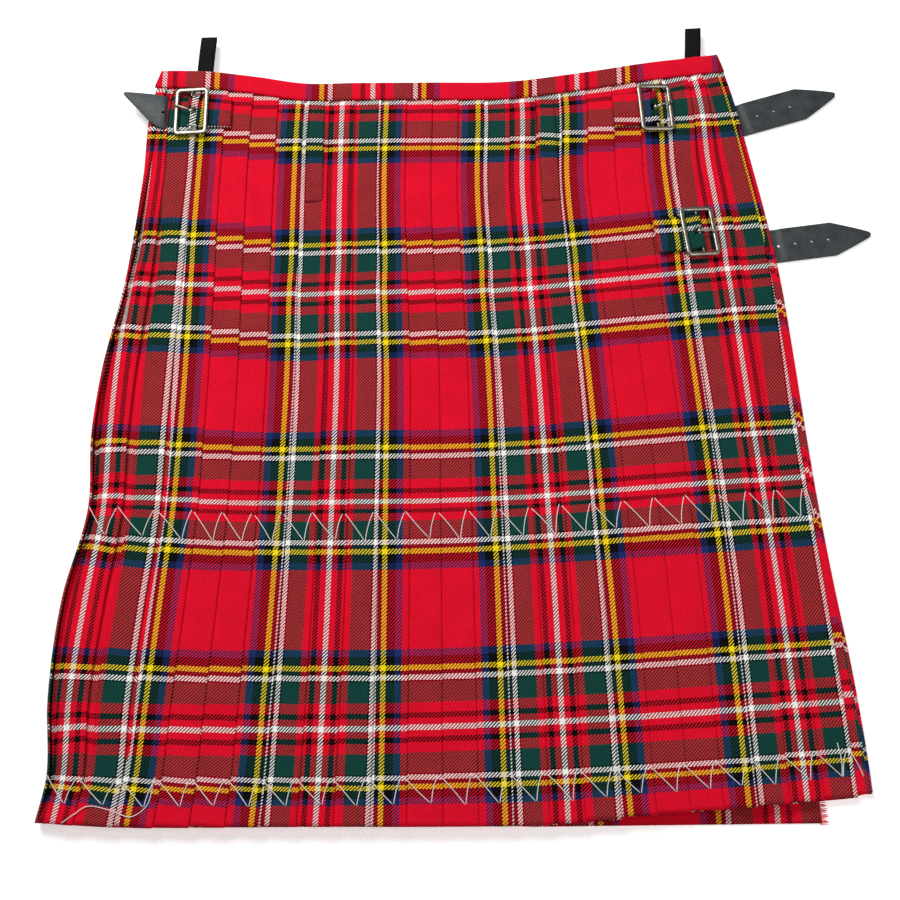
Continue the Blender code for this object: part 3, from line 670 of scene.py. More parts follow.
CREASES = (
    Crease(-214, 96, 78, 90, 7, 0.8),
    Crease(-176, -92, 97, 120, 9, -0.7),
    Crease(-128, -206, 84, 74, 6, 0.9),
    Crease(-88, 34, 101, 150, 10, 0.6),
    Crease(-52, -150, 74, 66, 8, -0.6),
    Crease(-9, 88, 92, 104, 7, 0.5),
    Crease(34, -232, 105, 58, 6, 0.9),
    Crease(61, -26, 83, 132, 11, -0.6),
    Crease(118, -118, 96, 88, 8, 0.8),
    Crease(152, 62, 79, 110, 9, -0.5),
    Crease(196, -196, 99, 96, 7, 0.9),
    Crease(233, -34, 88, 140, 8, 0.6),
    Crease(-250, -170, 86, 120, 6, 0.8),
    Crease(268, -140, 95, 84, 5, -0.7),
    Crease(-30, 190, 12, 120, 14, 0.35),
    Crease(150, 214, -9, 90, 12, -0.35),
)


def creased(points: np.ndarray, scale: float = 1.0) -> np.ndarray:
    """Height that the listed creases add at garment points."""
    lift = np.zeros(points.shape[:-1])
    for crease in CREASES:
        turn = math.radians(crease.angle)
        away = points[..., :2] - (crease.x, crease.y)
        along = away[..., 0] * math.cos(turn) + away[..., 1] * math.sin(turn)
        across = away[..., 1] * math.cos(turn) - away[..., 0] * math.sin(turn)
        lift += crease.height * np.exp(-((across / crease.width) ** 2) - (2 * along / crease.length) ** 2)
    return lift * scale


# ---------------------------------------------------------------- making meshes


def to_frame(points: np.ndarray) -> np.ndarray:
    """Garment millimetres to the frame's metres."""
    return (np.asarray(points, float) - ORIGIN) * MM


def link_mesh(
    name: str, mesh: bpy.types.Mesh, material: bpy.types.Material, body: str = BODY
) -> bpy.types.Object:
    """Put a finished mesh in the scene as a piece of the kilt.

    Args:
        name: the piece's name.
        mesh: its mesh, in metres in the shared frame.
        material: its finish.
        body: the body it rides on.

    Returns:
        The object.
    """
    mesh.materials.clear()
    mesh.materials.append(material)
    piece = bpy.data.objects.new(name, mesh)
    bpy.context.scene.collection.objects.link(piece)
    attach(piece, body)
    return piece


def grid_mesh(
    name: str, points: np.ndarray, cloth: np.ndarray | None = None, ring: bool = False
) -> bpy.types.Mesh:
    """Quads over a grid of points.

    Args:
        name: the mesh's name.
        points: rows x columns x 3, garment millimetres.
        cloth: rows x columns x 2, cloth millimetres for the UV map.
        ring: whether the columns close on themselves.

    Returns:
        A smooth-shaded mesh in metres.
    """
    rows, count = points.shape[:2]
    index = np.arange(rows * count).reshape(rows, count)
    right = np.roll(index, -1, axis=1)
    wide = count if ring else count - 1
    quads = np.stack(
        (index[:-1, :wide], index[1:, :wide], right[1:, :wide], right[:-1, :wide]), axis=-1
    ).reshape(-1, 4)
    mesh = bpy.data.meshes.new(name)
    mesh.from_pydata(to_frame(points.reshape(-1, 3)).tolist(), [], quads.tolist())
    if cloth is not None:
        layer = mesh.uv_layers.new(name="cloth_mm")
        layer.data.foreach_set("uv", cloth.reshape(-1, 2)[quads.ravel()].astype(np.float32).ravel())
    mesh.shade_smooth()
    return mesh


def thicken(piece: bpy.types.Object, thickness: float, offset: float = 0.0) -> None:
    """Give a sheet its real thickness, in millimetres, about its middle."""
    solid = piece.modifiers.new("thickness", "SOLIDIFY")
    solid.thickness = thickness * MM
    solid.offset = offset
    solid.use_even_offset = False
    solid.use_rim = True


def sheet_piece(
    name: str, node: str, points: np.ndarray, cloth: np.ndarray,
    material: bpy.types.Material, thick: float = CLOTH,
) -> bpy.types.Object:
    """Make a piece of cloth from a grid of points.

    Args:
        name: the piece's name.
        node: the frame's solid that it is shown in place of.
        points: rows and columns of places on its middle surface, in garment millimetres.
        cloth: the (u, v) of each place.
        material: its finish.
        thick: its thickness in millimetres.

    Returns:
        The thickened piece.
    """
    piece = link_mesh(name, grid_mesh(name, points, cloth), material)
    thicken(piece, thick)
    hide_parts(node)
    return piece


def tube_points(path: np.ndarray, radius: float | np.ndarray, sides: int) -> np.ndarray:
    """Rings of points round a path.

    Args:
        path: n x 3 points.
        radius: one radius or one for each point.
        sides: points in each ring.

    Returns:
        n x sides x 3 points.
    """
    ahead = np.gradient(path, axis=0)
    ahead /= np.linalg.norm(ahead, axis=1)[:, None]
    side = np.cross(ahead, (0.0, 0.0, 1.0))
    side /= np.maximum(np.linalg.norm(side, axis=1), 1e-6)[:, None]
    up = np.cross(side, ahead)
    turn = np.linspace(0, math.tau, sides, endpoint=False)
    spread = np.broadcast_to(np.asarray(radius, float), (len(path),))
    ring = side[:, None] * np.cos(turn)[None, :, None] + up[:, None] * np.sin(turn)[None, :, None]
    return path[:, None] + ring * spread[:, None, None]


def tubes_mesh(name: str, tubes: Sequence[np.ndarray], colours: Sequence[float] = ()) -> bpy.types.Mesh:
    """One mesh of several tubes.

    Args:
        name: the mesh's name.
        tubes: rings of points; a tube whose last ring repeats its first closes on itself.
        colours: a cloth coordinate along the weft for each tube, for its UV map.

    Returns:
        A smooth-shaded mesh in metres.
    """
    verts: list = []
    faces: list = []
    marks: list = []
    for number, rings in enumerate(tubes):
        loop = np.allclose(rings[0], rings[-1])
        if loop:
            rings = rings[:-1]
        count, sides = rings.shape[:2]
        start, before = len(verts), len(faces)
        verts.extend(to_frame(rings.reshape(-1, 3)).tolist())
        for i in range(count if loop else count - 1):
            here, there = start + i * sides, start + (i + 1) % count * sides
            for j in range(sides):
                k = (j + 1) % sides
                faces.append((here + j, here + k, there + k, there + j))
        if not loop:
            faces.append(tuple(range(start + sides - 1, start - 1, -1)))
            last = start + (count - 1) * sides
            faces.append(tuple(range(last, last + sides)))
        if len(colours):
            marks.extend(colours[number] for face in faces[before:] for _ in face)
    mesh = bpy.data.meshes.new(name)
    mesh.from_pydata(verts, [], faces)
    if marks:
        layer = mesh.uv_layers.new(name="cloth_mm")
        places = np.column_stack((np.zeros(len(marks)), marks)).astype(np.float32)
        layer.data.foreach_set("uv", places.ravel())
    mesh.shade_smooth()
    return mesh


def punch(piece: bpy.types.Object, spots: Sequence[np.ndarray], radius: float) -> None:
    """Cut round holes through a piece, straight down, and keep its edges crisp."""
    for number, spot in enumerate(spots):
        drill = np.array([(*spot[:2], z) for z in (-2.0, 30.0)])
        turns = np.linspace(0, math.tau, 20, False)
        ring = np.array([(math.cos(turn), math.sin(turn), 0.0) for turn in turns])
        mesh = tubes_mesh(f"drill_{number}", [drill[:, None] + ring[None] * radius])
        cutter = bpy.data.objects.new(mesh.name, mesh)
        bpy.context.scene.collection.objects.link(cutter)
        hole = piece.modifiers.new(mesh.name, "BOOLEAN")
        hole.operation, hole.solver, hole.object = "DIFFERENCE", "EXACT", cutter
        bpy.context.view_layer.update()
        cut = bpy.data.meshes.new_from_object(piece.evaluated_get(bpy.context.evaluated_depsgraph_get()))
        piece.modifiers.clear()
        piece.data = cut
        bpy.data.objects.remove(cutter, do_unlink=True)
    piece.data.shade_smooth()
    piece.data.set_sharp_from_angle(angle=math.radians(50))


def smooth_path(points: Sequence[Sequence[float]], count: int) -> np.ndarray:
    """A smooth curve through points, evenly stepped along its length."""
    points = np.asarray(points, float)
    length = np.concatenate(([0.0], np.cumsum(np.linalg.norm(np.diff(points, axis=0), axis=1))))
    return hermite(np.linspace(0, length[-1], count), length, points)


# ---------------------------------------------------------------- the pleated back


def row_heights() -> np.ndarray:
    """Heights of the mesh rows from the waist down, closer where the cloth works most."""
    parts = (
        np.linspace(316, 300, 4, endpoint=False),
        np.linspace(300, 144, 20, endpoint=False),
        np.linspace(144, -28, 22, endpoint=False),
        np.linspace(-28, -76, 10, endpoint=False),
        np.linspace(-76, -236, 20, endpoint=False),
        np.linspace(-236, -278.9, 12),
    )
    return np.concatenate(parts)


@dataclass
class PleatedBack:
    """The back of the kilt: one width of cloth, knife-pleated to the sett, folds facing right."""

    layout: Layout
    twill: bpy.types.Material
    face_steps: tuple[float, ...] = (0.0, 0.07, 0.2, 0.4, 0.6, 0.8, 0.94)
    hidden_steps: tuple[float, ...] = (0.04, 0.4, 0.94)
    last_face_u: float = 10.5
    last_face_v: float = -4.5
    flat: tuple[float, float] = (3.9, 0.611)
    columns: list = field(default_factory=list)

    def add(self, fold: np.ndarray, drop: np.ndarray, index: int, u: np.ndarray, **more) -> None:
        """Keep one column of the section.

        Args:
            fold: fold number at each row.
            drop: depth below the top of the stack.
            index: which pleat the column belongs to, for the gapes.
            u: cloth coordinate across.
            more: dx, a shift in X; tilt, the row's departure from the bow; dv, a shift along.
        """
        zero = np.zeros_like(self.y)
        self.columns.append(
            (fold + zero, drop + zero, index, u + zero)
            + tuple(more.get(name, 0.0) + zero for name in ("dx", "tilt", "dv"))
        )

    def tilt(self, panel: int, fold: np.ndarray) -> np.ndarray:
        """How far a face's weft is off the bow at a fold number."""
        middle, rise, slope = self.layout.tilts(panel, self.y)
        x = self.layout.x(self.y, fold + 0 * self.y)
        return rise + slope * (x - middle) - self.layout.bow(self.y, fold + 0 * self.y)

    def face(self, panel: int) -> None:
        """The visible part of a pleat."""
        start = panel - 1.0 + 0 * self.y
        if panel == 1:
            width = np.diff(self.layout.folds(self.y)[:, :2], axis=1)[:, 0]
            start = self.layout.value("seam", self.y) / width
        for step in self.face_steps:
            fold = start + (panel - start) * step
            x = self.layout.x(self.y, fold)
            u = self.layout.face_u(panel, self.y, x)
            shift = 0.0
            if panel == PANELS:
                # Below the fell the pleat beside it has slipped, so the check jumps here.
                loose = np.clip((FELL_Y - self.y) / 8.0, 0, 1) > 0
                u = np.where(loose, self.last_face_u + x - self.layout.x(self.y, start), u)
                shift = np.where(loose, self.last_face_v, 0.0)
            self.add(fold, sink(panel - fold), panel, u, tilt=self.tilt(panel, fold), dv=shift)

    def turn(self, panel: int) -> None:
        """A fold, the hidden cloth under it and the fold where it comes back."""
        layout, y = self.layout, self.y
        edge_u = layout.face_u(panel, y, layout.x(y, panel + 0 * y))
        next_u = layout.face_u(panel + 1, y, layout.x(y, panel + 0 * y)) + SETT
        hidden = np.maximum(panel - layout.value("depth", y), 0.0)
        inset = np.where(hidden <= 0, 4.0, 0.0)
        outer, inner = self.tilt(panel, panel + 0 * y), self.tilt(panel + 1, panel + 0 * y)
        top, low = sink(0.0), sink(0.5)
        radius = (low - top) / 2
        for degrees in (62, 0, -62):
            angle = math.radians(degrees)
            self.add(
                panel + 0 * y, (top + low) / 2 - radius * math.sin(angle), panel, edge_u,
                dx=radius * (math.cos(angle) - 1), tilt=outer,
            )
        for step in self.hidden_steps:
            fold = panel + (hidden - panel) * step
            u = edge_u + (next_u - edge_u) * step / 2
            dx = inset * step - radius * (1 - step)
            self.add(fold, sink(panel + 0.5 - fold), panel, u, dx=dx, tilt=outer * (1 - step))
        upper, lower = sink(panel + 0.5 - hidden), sink(panel + 1 - hidden)
        radius = (lower - upper) / 2
        for degrees in (62, 0, -62):
            angle = math.radians(degrees)
            self.add(
                hidden, (upper + lower) / 2 - radius * math.sin(angle), panel + 1,
                (edge_u + next_u) / 2, dx=inset + radius * (1 - math.cos(angle)),
            )
        for step in self.hidden_steps:
            fold = hidden + (panel - hidden) * step
            u = edge_u + (next_u - edge_u) * (1 + step) / 2
            dx = inset * (1 - step)
            self.add(fold, sink(panel + 1 - fold), panel + 1, u, dx=dx, tilt=inner * step)

    def gaped(self, x: np.ndarray, z: np.ndarray, index: int) -> np.ndarray:
        """Press a layer down where pleats to its left gape."""
        base = self.layout.value("back_z", self.y)
        keep = np.ones_like(x)
        for gape in GAPES:
            if index <= gape.fold:
                continue
            edge = self.layout.x(self.y, gape.fold + 0 * self.y)
            near = np.exp(-(((x - edge - gape.offset) / gape.width) ** 2))
            span = np.clip((self.y - gape.low) / 40, 0, 1) * np.clip((gape.high - self.y) / 60, 0, 1)
            keep *= 1 - gape.share * near * span
        return base + (z - base) * keep

    def build(self) -> bpy.types.Object:
        """Fold the cloth and return the piece."""
        self.y = row_heights()
        for panel in range(1, PANELS + 1):
            self.face(panel)
            if panel < PANELS:
                self.turn(panel)
        layout = self.layout
        height = layout.cloth_height(self.y)
        points, cloth = [], []
        for fold, drop, index, u, dx, tilt, dv in self.columns:
            x = layout.x(self.y, fold) + dx
            y = self.y + layout.bow(self.y, fold) + tilt
            z = self.gaped(x, layout.stack_top(self.y, fold) - drop, index)
            points.append(np.stack((x, y, z), axis=-1))
            cloth.append(np.stack((u, height + dv), axis=-1))
        points, cloth = np.stack(points, axis=1), np.stack(cloth, axis=1)
        share = np.clip((points[..., 2] - 2.6) / 11.0, 0, 1)
        points[..., 2] += creased(points) * share
        name = "kilt_back_cloth"
        piece = sheet_piece(name, "pleated_back", points, cloth, self.twill)
        return piece


# ---------------------------------------------------------------- aprons


@dataclass
class Apron:
    """One of the two flat ends of the cloth, which lie under the pleats."""

    layout: Layout
    twill: bpy.types.Material
    name: str
    node: str
    over: bool
    flat: tuple[float, float]
    rests_on: list[str]

    def columns(self, y: np.ndarray) -> list[tuple[np.ndarray, ...]]:
        """Section of the apron: (x, bow, z) for each column from its free edge."""
        layout = self.layout
        zero = 0 * y
        parts: list[tuple[np.ndarray, ...]] = []
        rise = layout.value("over_rise", y) if self.over else None
        free = layout.value("over_edge" if self.over else "under_edge", y)
        free_fold = np.array([layout.fold_at(row, x) for row, x in zip(y, free)])
        ground = 0.45 if self.over else 1.75
        far = 0.2 if self.over else PANELS - 0.35
        for step in np.linspace(0, 1, 40):
            fold = free_fold + (far - free_fold) * step
            parts.append((layout.x(y, fold), layout.bow(y, fold, rise), zero + ground))
        edge = layout.x(y, zero + (0 if self.over else PANELS))
        bow = layout.bow(y, zero + (0 if self.over else PANELS), rise)
        inward = 1.0 if self.over else -1.0
        if self.over:
            seam = layout.value("seam", y)
            width = np.diff(layout.folds(y)[:, :2], axis=1)[:, 0]
            top = layout.stack_top(y, seam / width) - sink(1 - seam / width)
            end = seam - 0.5
        else:
            top = layout.value("back_z", y) + CAD_PLY - CLOTH / 2 + 0.4
            end = zero + 2.6
        height = top - ground
        for angle in (70, 45, 20, 0, -20, -45, -70):
            turn = math.radians(angle)
            bulge = np.minimum(height / 2, 3.0)
            inset = bulge * (1 - math.cos(turn)) * inward + 0.3 * inward
            parts.append((edge + inset, bow, ground + height * (0.5 - math.sin(turn) / 2)))
        for share in (0.45, 0.75, 1.0):
            parts.append((edge + inward * np.maximum(end * share, 1.8 + share), bow, top + zero))
        return parts

    def build(self) -> bpy.types.Object:
        """Lay the apron and return the piece."""
        y = row_heights()
        parts = self.columns(y)
        points = np.stack([np.stack((x, y + bow, z), axis=-1) for x, bow, z in parts], axis=1)
        steps = np.linalg.norm(np.diff(points[:, :, ::2], axis=1), axis=2)
        run = np.concatenate((np.zeros((len(y), 1)), np.cumsum(steps, axis=1)), axis=1)
        if self.over:
            u = points[:, :1, 0] - 236.0 - run
        else:
            u = points[:, :1, 0] + run - 20.0
        height = self.layout.cloth_height(y)[:, None]
        cloth = np.stack((u, np.broadcast_to(height, u.shape)), axis=-1)
        points[..., 2] += np.abs(creased(points + (18.0, 26.0, 0.0), 0.3))
        piece = sheet_piece(self.name, self.node, points, cloth, self.twill)
        return piece


# ---------------------------------------------------------------- waistband, loops, hangers


@dataclass
class Waistband:
    """A straight strip folded over the top edge and sewn down."""

    layout: Layout
    twill: bpy.types.Material
    name: str
    node: str
    low: Callable[[np.ndarray], np.ndarray]
    high: Callable[[np.ndarray], np.ndarray]
    trim: float = 0.0
    height: float = 16.5
    white_x: float = -64.2  # where the white warp line crosses
    drift_start: float = 160.0  # left of this the strip was eased on, so its pattern drifts
    drift_rate: float = 0.075
    drift_most: float = 3.6

    def build(self) -> bpy.types.Object:
        """Fold the strip over the waist and return the piece."""
        layout = self.layout
        fold = np.concatenate(([0.0, 0.12, 0.4], np.linspace(1, 23, 67), [23.6, 23.88, 24.0]))
        waist, band = np.array(WAIST_Y), np.array(BAND_Y)
        bow = layout.bow(waist, fold)
        low, high = self.low(fold), self.high(fold)
        legs = []
        crest, turned = self.height, 1.4
        steps = [(turned, low), (crest * 0.5, low), (crest - 2.4, low)]
        radius = (high - low) / 2
        for degrees in (-60, -25, 0, 25, 60):
            turn = math.radians(degrees)
            steps.append((crest - 2.4 + 2.4 * math.cos(turn), (low + high) / 2 + radius * math.sin(turn)))
        steps += [(crest - 2.4, high), (crest * 0.62, high + 0.15), (crest * 0.35, high + 0.1)]
        steps += [(2.0, high - 0.1), (0.5, high - 0.35)]
        steps += [(-0.1, high - 1.1), (0.9, high - 1.5), (3.0, high - 1.3)]  # turned under and sewn
        for along, z in steps:
            part = along / (BAND_Y - WAIST_Y)
            x = layout.x(waist, fold) * (1 - part) + layout.x(band, fold) * part
            x = x + self.trim * np.where(fold < 0.5, 1, 0) - self.trim * np.where(fold > 23.5, 1, 0)
            legs.append(np.stack((x, WAIST_Y + bow + along, z + 0 * x), axis=-1))
        points = np.stack(legs, axis=0)
        run = np.cumsum(np.linalg.norm(np.diff(points[..., 1:], axis=0), axis=2).mean(axis=1))
        run = np.concatenate(([0.0], run))
        drift = np.clip(-self.drift_start - points[..., 0], 0, None) * self.drift_rate
        u = points[..., 0] - self.white_x + np.minimum(drift, self.drift_most)
        cloth = np.stack((u, np.broadcast_to((run + 60.0)[:, None], u.shape)), axis=-1)
        piece = sheet_piece(self.name, self.node, points, cloth, self.twill)
        return piece


@dataclass
class BeltLoop:
    """A strip for a belt, sewn at both ends, its tartan matched to the cloth behind."""

    layout: Layout
    twill: bpy.types.Material
    side: str
    x_top: float
    x_low: float
    y_top: float
    y_low: float
    panel: int  # the face whose pattern it carries on
    slip: float  # mm that its pattern sits above the cloth's
    width: float = 14.6
    lift: float = 1.4

    def build(self) -> bpy.types.Object:
        """Shape the strip and return the piece."""
        rows = []
        cloth = []
        across = np.array((-1.0, -0.86, -0.5, 0.0, 0.5, 0.86, 1.0)) * self.width / 2
        drop = np.array((0.75, 0.1, 0.0, 0.0, 0.0, 0.1, 0.75))
        for part in np.linspace(0, 1, 48):
            x = self.x_top + (self.x_low - self.x_top) * part
            y = self.y_top + (self.y_low - self.y_top) * part
            level = self.layout.surface(x, y) + 0.75
            stand = self.lift * math.sin(math.pi * part) ** 0.6
            end = 0.5 * (np.exp(-((part * 60) ** 2)) + np.exp(-(((1 - part) * 60) ** 2)))
            rows.append([(x + dx, y, level + stand - dz - end) for dx, dz in zip(across, drop)])
            cloth.append([self.layout.cloth_at(self.panel, x + dx, y + self.slip) for dx in across])
        name = f"belt_loop_{self.side}_cloth"
        piece = sheet_piece(name, f"belt_loop_{self.side}", np.array(rows), np.array(cloth), self.twill)
        return piece


@dataclass
class Hanger:
    """A doubled loop of tape that leaves the top of the waistband."""

    layout: Layout
    tape: bpy.types.Material
    side: str
    x: float
    reach: float
    width: float = 13.2
    thick: float = 0.5
    seam: float = 14.5  # how far above the waist row it comes out of the band

    def build(self) -> bpy.types.Object:
        """Shape the loop and return the piece."""
        fold = self.layout.fold_at(BAND_Y, self.x)
        foot = WAIST_Y + float(self.layout.bow(np.array(WAIST_Y), np.array(fold))) + self.seam
        reach = self.reach + 1.8
        low = [(foot + reach * part, 9.9 - 3.5 * drop) for part, drop in
               ((0, 0), (0.2, 0.05), (0.4, 0.17), (0.6, 0.38), (0.8, 0.68), (0.94, 0.93))]
        tip = (foot + reach, low[-1][1] + 0.75)
        high = [(y, z + 1.5 - 0.3 * i / 6) for i, (y, z) in enumerate(low)]
        line = smooth_path([*low, tip, *reversed(high)], 44)
        across = np.linspace(-0.5, 0.5, 5) * self.width
        slope = 0.08 if self.side == "right" else 0.03
        points = np.array(
            [[(self.x + dx + slope * (y - foot), y + slope * dx, z) for dx in across] for y, z in line]
        )
        run = np.linspace(0, 2 * reach, len(line))
        cloth = np.array([[(dx, along) for dx in across] for along in run])
        name = f"hanger_{self.side}_tape"
        piece = sheet_piece(name, f"hanger_{self.side}", points, cloth, self.tape, self.thick)
        return piece


# ---------------------------------------------------------------- straps


@dataclass
class EdgeStrap:
    """A pointed, punched strap sewn to the over apron's free edge, skived thin where it is sewn."""

    leather: bpy.types.Material
    side: str
    edge: tuple[float, float]  # where its middle line leaves the garment
    angle: float  # degrees from +X
    inside: float
    shown: float
    first_hole: float
    pitch: float
    holes: int
    half: float = 14.7
    point: float = 31.0
    thick: float = 2.2
    hole_radius: float = 1.25

    def half_at(self, along: float) -> float:
        """Half width at a distance from the garment's edge."""
        left = np.clip((self.shown - along) / self.point, 0, 1)
        return 1.8 + (self.half - 1.8) * left**0.92

    def section(self, along: float) -> np.ndarray:
        """One ring of the strap: flat back, slightly domed face and rounded edges."""
        turn = math.radians(self.angle)
        ahead = np.array((math.cos(turn), math.sin(turn)))
        across = np.array((-ahead[1], ahead[0]))
        thick = self.thick + (0.9 - self.thick) * float(np.clip((7.0 - along) / 4.0, 0, 1))
        nose = float(np.clip((along - self.shown + 1.6) / 1.6, 0, 1))
        half = self.half_at(along) * math.sqrt(max(1 - nose * nose, 0.02))
        soft = min(0.6, half * 0.3)
        outline = [(-half, 0.5), (-half + 0.15, thick - 0.55), (-half + soft, thick - 0.12)]
        outline += [(-half + 1.6 * soft, thick), (-half * 0.5, thick + 0.08), (0.0, thick + 0.1)]
        outline += [(-a, z) for a, z in reversed(outline[:-1])]
        outline += [(half - 0.35, 0.06), (-half + 0.35, 0.06)]
        lift = 0.12 * math.sin(along * 0.11)
        spots = [np.array(self.edge) + ahead * along + across * a for a, _ in outline]
        return np.array([(*spot, z + max(lift, 0.0)) for spot, (_, z) in zip(spots, outline)])

    def build(self) -> bpy.types.Object:
        """Cut and punch the strap and return the piece."""
        start = self.shown - self.point
        stations = [-self.inside, -self.inside / 2, *np.linspace(0, 9, 7), *np.linspace(12, start, 8)]
        stations += [*np.linspace(start, self.shown - 2, 16)[1:]]
        stations += [*(self.shown - np.array((1.6, 1.0, 0.5, 0.2, 0.0)))]
        name = f"strap_{self.side}_leather"
        mesh = tubes_mesh(name, [np.stack([self.section(along) for along in stations])])
        piece = link_mesh(name, mesh, self.leather)
        turn = math.radians(self.angle)
        ahead = np.array((math.cos(turn), math.sin(turn)))
        reach = [self.first_hole + self.pitch * number for number in range(self.holes)]
        punch(piece, [np.array(self.edge) + ahead * along for along in reach], self.hole_radius)
        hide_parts(f"strap_{self.side}")
        return piece


@dataclass
class SlitStrap:
    """The under apron's strap, which comes up through a slit and lies out to the left."""

    leather: bpy.types.Material
    thick: float = 2.1
    # x, lower edge and upper edge of the strap from the slit to its tip.
    outline: tuple[tuple[float, float, float], ...] = (
        (-236.9, 275.9, 306.2), (-240.0, 276.6, 306.7), (-243.0, 278.4, 307.2), (-247.0, 281.3, 307.8),
        (-252.0, 286.6, 308.4), (-258.0, 293.2, 309.0), (-264.0, 299.6, 309.6), (-268.0, 303.9, 309.9),
        (-270.4, 306.6, 309.9), (-271.3, 307.9, 309.2),
    )
    hole: tuple[float, float] = (-237.5, 290.6)

    def build(self) -> bpy.types.Object:
        """Cut the strap and return the piece."""
        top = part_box("strap_left")[1][2] / MM
        foot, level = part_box("strap_left")[0][2] / MM, top - self.thick
        rings = []
        for x, z, tilt in ((-234.7, foot, 90.0), (-234.7, level - 2.4, 88.0), (-235.2, level - 0.6, 55.0)):
            rings.append(self.section(x, z + 0.4, tilt, 276.6, 306.2))
        for number, (x, low, high) in enumerate(self.outline):
            tilt = (24.0, 8.0)[number] if number < 2 else 0.0
            rings.append(self.section(x, level + self.thick / 2 - 0.02 * number, tilt, low, high))
        name = "strap_left_leather"
        piece = link_mesh(name, tubes_mesh(name, [np.stack(rings)]), self.leather)
        punch(piece, [np.array(self.hole)], 1.2)
        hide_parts("strap_left")
        return piece

    def section(self, x: float, z: float, tilt: float, low: float, high: float) -> np.ndarray:
        """One ring about the strap's middle plane, which leans by tilt degrees from flat."""
        half = min(self.thick / 2, (high - low) / 2)
        lean = math.radians(tilt)
        out = np.array((math.sin(lean), 0.0, math.cos(lean)))
        soft = min(0.7, (high - low) / 3)
        ring = [(low, -half * 0.5), (low, half * 0.4), (low + soft * 0.5, half * 0.85), (low + soft, half)]
        ring += [((low + high) / 2, half)]
        ring += [(high - soft, half), (high - soft * 0.5, half * 0.85)]
        ring += [(high, half * 0.4), (high, -half * 0.5)]
        ring += [(high - soft, -half), (low + soft, -half)]
        return np.array([np.array((x, y, z)) + out * away for y, away in ring])


# ---------------------------------------------------------------- buckles


@dataclass(frozen=True)
class Seat:
    """Where a buckle sits: its centre bar's place and the way the buckle faces."""

    side: str
    turn: float  # degrees from +X to the way the prong points
    slope: float  # degrees it dips that way

    def place(self, points: np.ndarray) -> np.ndarray:
        """The buckle's own millimetres to garment millimetres."""
        name = f"prong_{self.side}_hinge"
        joint = next(joint for joint in frame["record"]["behaviour"]["joints"] if joint["name"] == name)
        pivot = np.array(joint["pos_m"]) / MM + ORIGIN
        turn = Matrix.Rotation(math.radians(self.turn), 3, "Z")
        turn = turn @ Matrix.Rotation(math.radians(self.slope), 3, "Y")
        return points @ np.array(turn).T + pivot


def ring_section(wide: float, tall: float, sides: int, squareness: float) -> np.ndarray:
    """Points round a bar's section: 2 is an ellipse, more is squarer."""
    turns = np.linspace(0, math.tau, sides, endpoint=False)
    c, s = np.cos(turns), np.sin(turns)
    power = 2 / squareness
    return np.stack((wide * np.sign(c) * np.abs(c) ** power, tall * np.sign(s) * np.abs(s) ** power), axis=1)


@dataclass
class BuckleFrame:
    """A cast rectangular frame with a centre bar, its free side resting on the cloth."""

    seat: Seat
    nickel: bpy.types.Material
    long: float = 43.2
    short: float = 28.6
    bar: float = 3.7
    thick: float = 2.8
    corner: float = 4.6
    pitch: float = 6.0

    def build(self) -> bpy.types.Object:
        """Cast the frame and return the piece."""
        half_x, half_y = (self.short - self.bar) / 2, (self.long - self.bar) / 2
        radius = self.corner - self.bar / 2
        section = ring_section(self.bar / 2, self.thick / 2, 16, 2.5)
        rings = []
        for quarter, (side_x, side_y) in enumerate(((1, 1), (-1, 1), (-1, -1), (1, -1))):
            for step in range(9):
                turn = math.radians(90 * quarter + 11.25 * step)
                out = np.array((math.cos(turn), math.sin(turn), 0.0))
                centre = np.array((side_x * (half_x - radius), side_y * (half_y - radius), 0.0))
                spot = centre + out * radius
                rings.append(spot + section[:, :1] * out + section[:, 1:] * (0.0, 0.0, 1.0))
        rings.append(rings[0])
        tilt = np.array(Matrix.Rotation(math.radians(self.pitch), 3, "Y")).T
        frame_rings = self.seat.place(np.stack(rings) @ tilt)
        bar = tube_points(np.array([(0.0, y, 0.0) for y in np.linspace(-half_y, half_y, 8)]), 1.1, 14)
        name = f"buckle_{self.seat.side}_cast"
        mesh = tubes_mesh(name, [frame_rings, self.seat.place(bar)])
        piece = link_mesh(name, mesh, self.nickel)
        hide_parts(f"buckle_{self.seat.side}")
        return piece


@dataclass
class Prong:
    """A pin bent round the centre bar; it swings on the bar and rests on the frame's free side."""

    seat: Seat
    nickel: bpy.types.Material
    lean: float  # degrees its pin points away from the buckle's middle line

    def build(self) -> bpy.types.Object:
        """Bend the pin and return the piece."""
        band = []
        for turn in np.linspace(0, math.tau, 25):
            spoke = np.array((math.cos(turn), 0.0, math.sin(turn)))
            section = ring_section(0.42, 1.2, 10, 2.6)
            band.append(spoke * (1.93 + section[:, :1]) + section[:, 1:] * (0.0, 1.0, 0.0))
        band[-1] = band[0]
        swing = math.tan(math.radians(self.lean))
        line = [(1.2, 1.25), (3.4, 1.95), (6.4, 2.05), (9.4, 1.8), (12.0, 1.42), (14.6, 0.98)]
        path = smooth_path([(x, x * swing, z) for x, z in line], 18)
        radius = np.interp(np.linspace(0, 1, 18), (0, 0.08, 0.9, 0.97, 1), (0.9, 0.98, 0.72, 0.55, 0.25))
        name = f"prong_{self.seat.side}_pin"
        tubes = [self.seat.place(np.stack(band)), self.seat.place(tube_points(path, radius, 12))]
        piece = link_mesh(name, tubes_mesh(name, tubes), self.nickel, f"{self.seat.side}_prong")
        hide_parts(f"prong_{self.seat.side}")
        return piece


SLOT_HALF, SLOT_BACK = 2.7, -3.9  # half width of a tab's slot, and how far behind the bar it ends


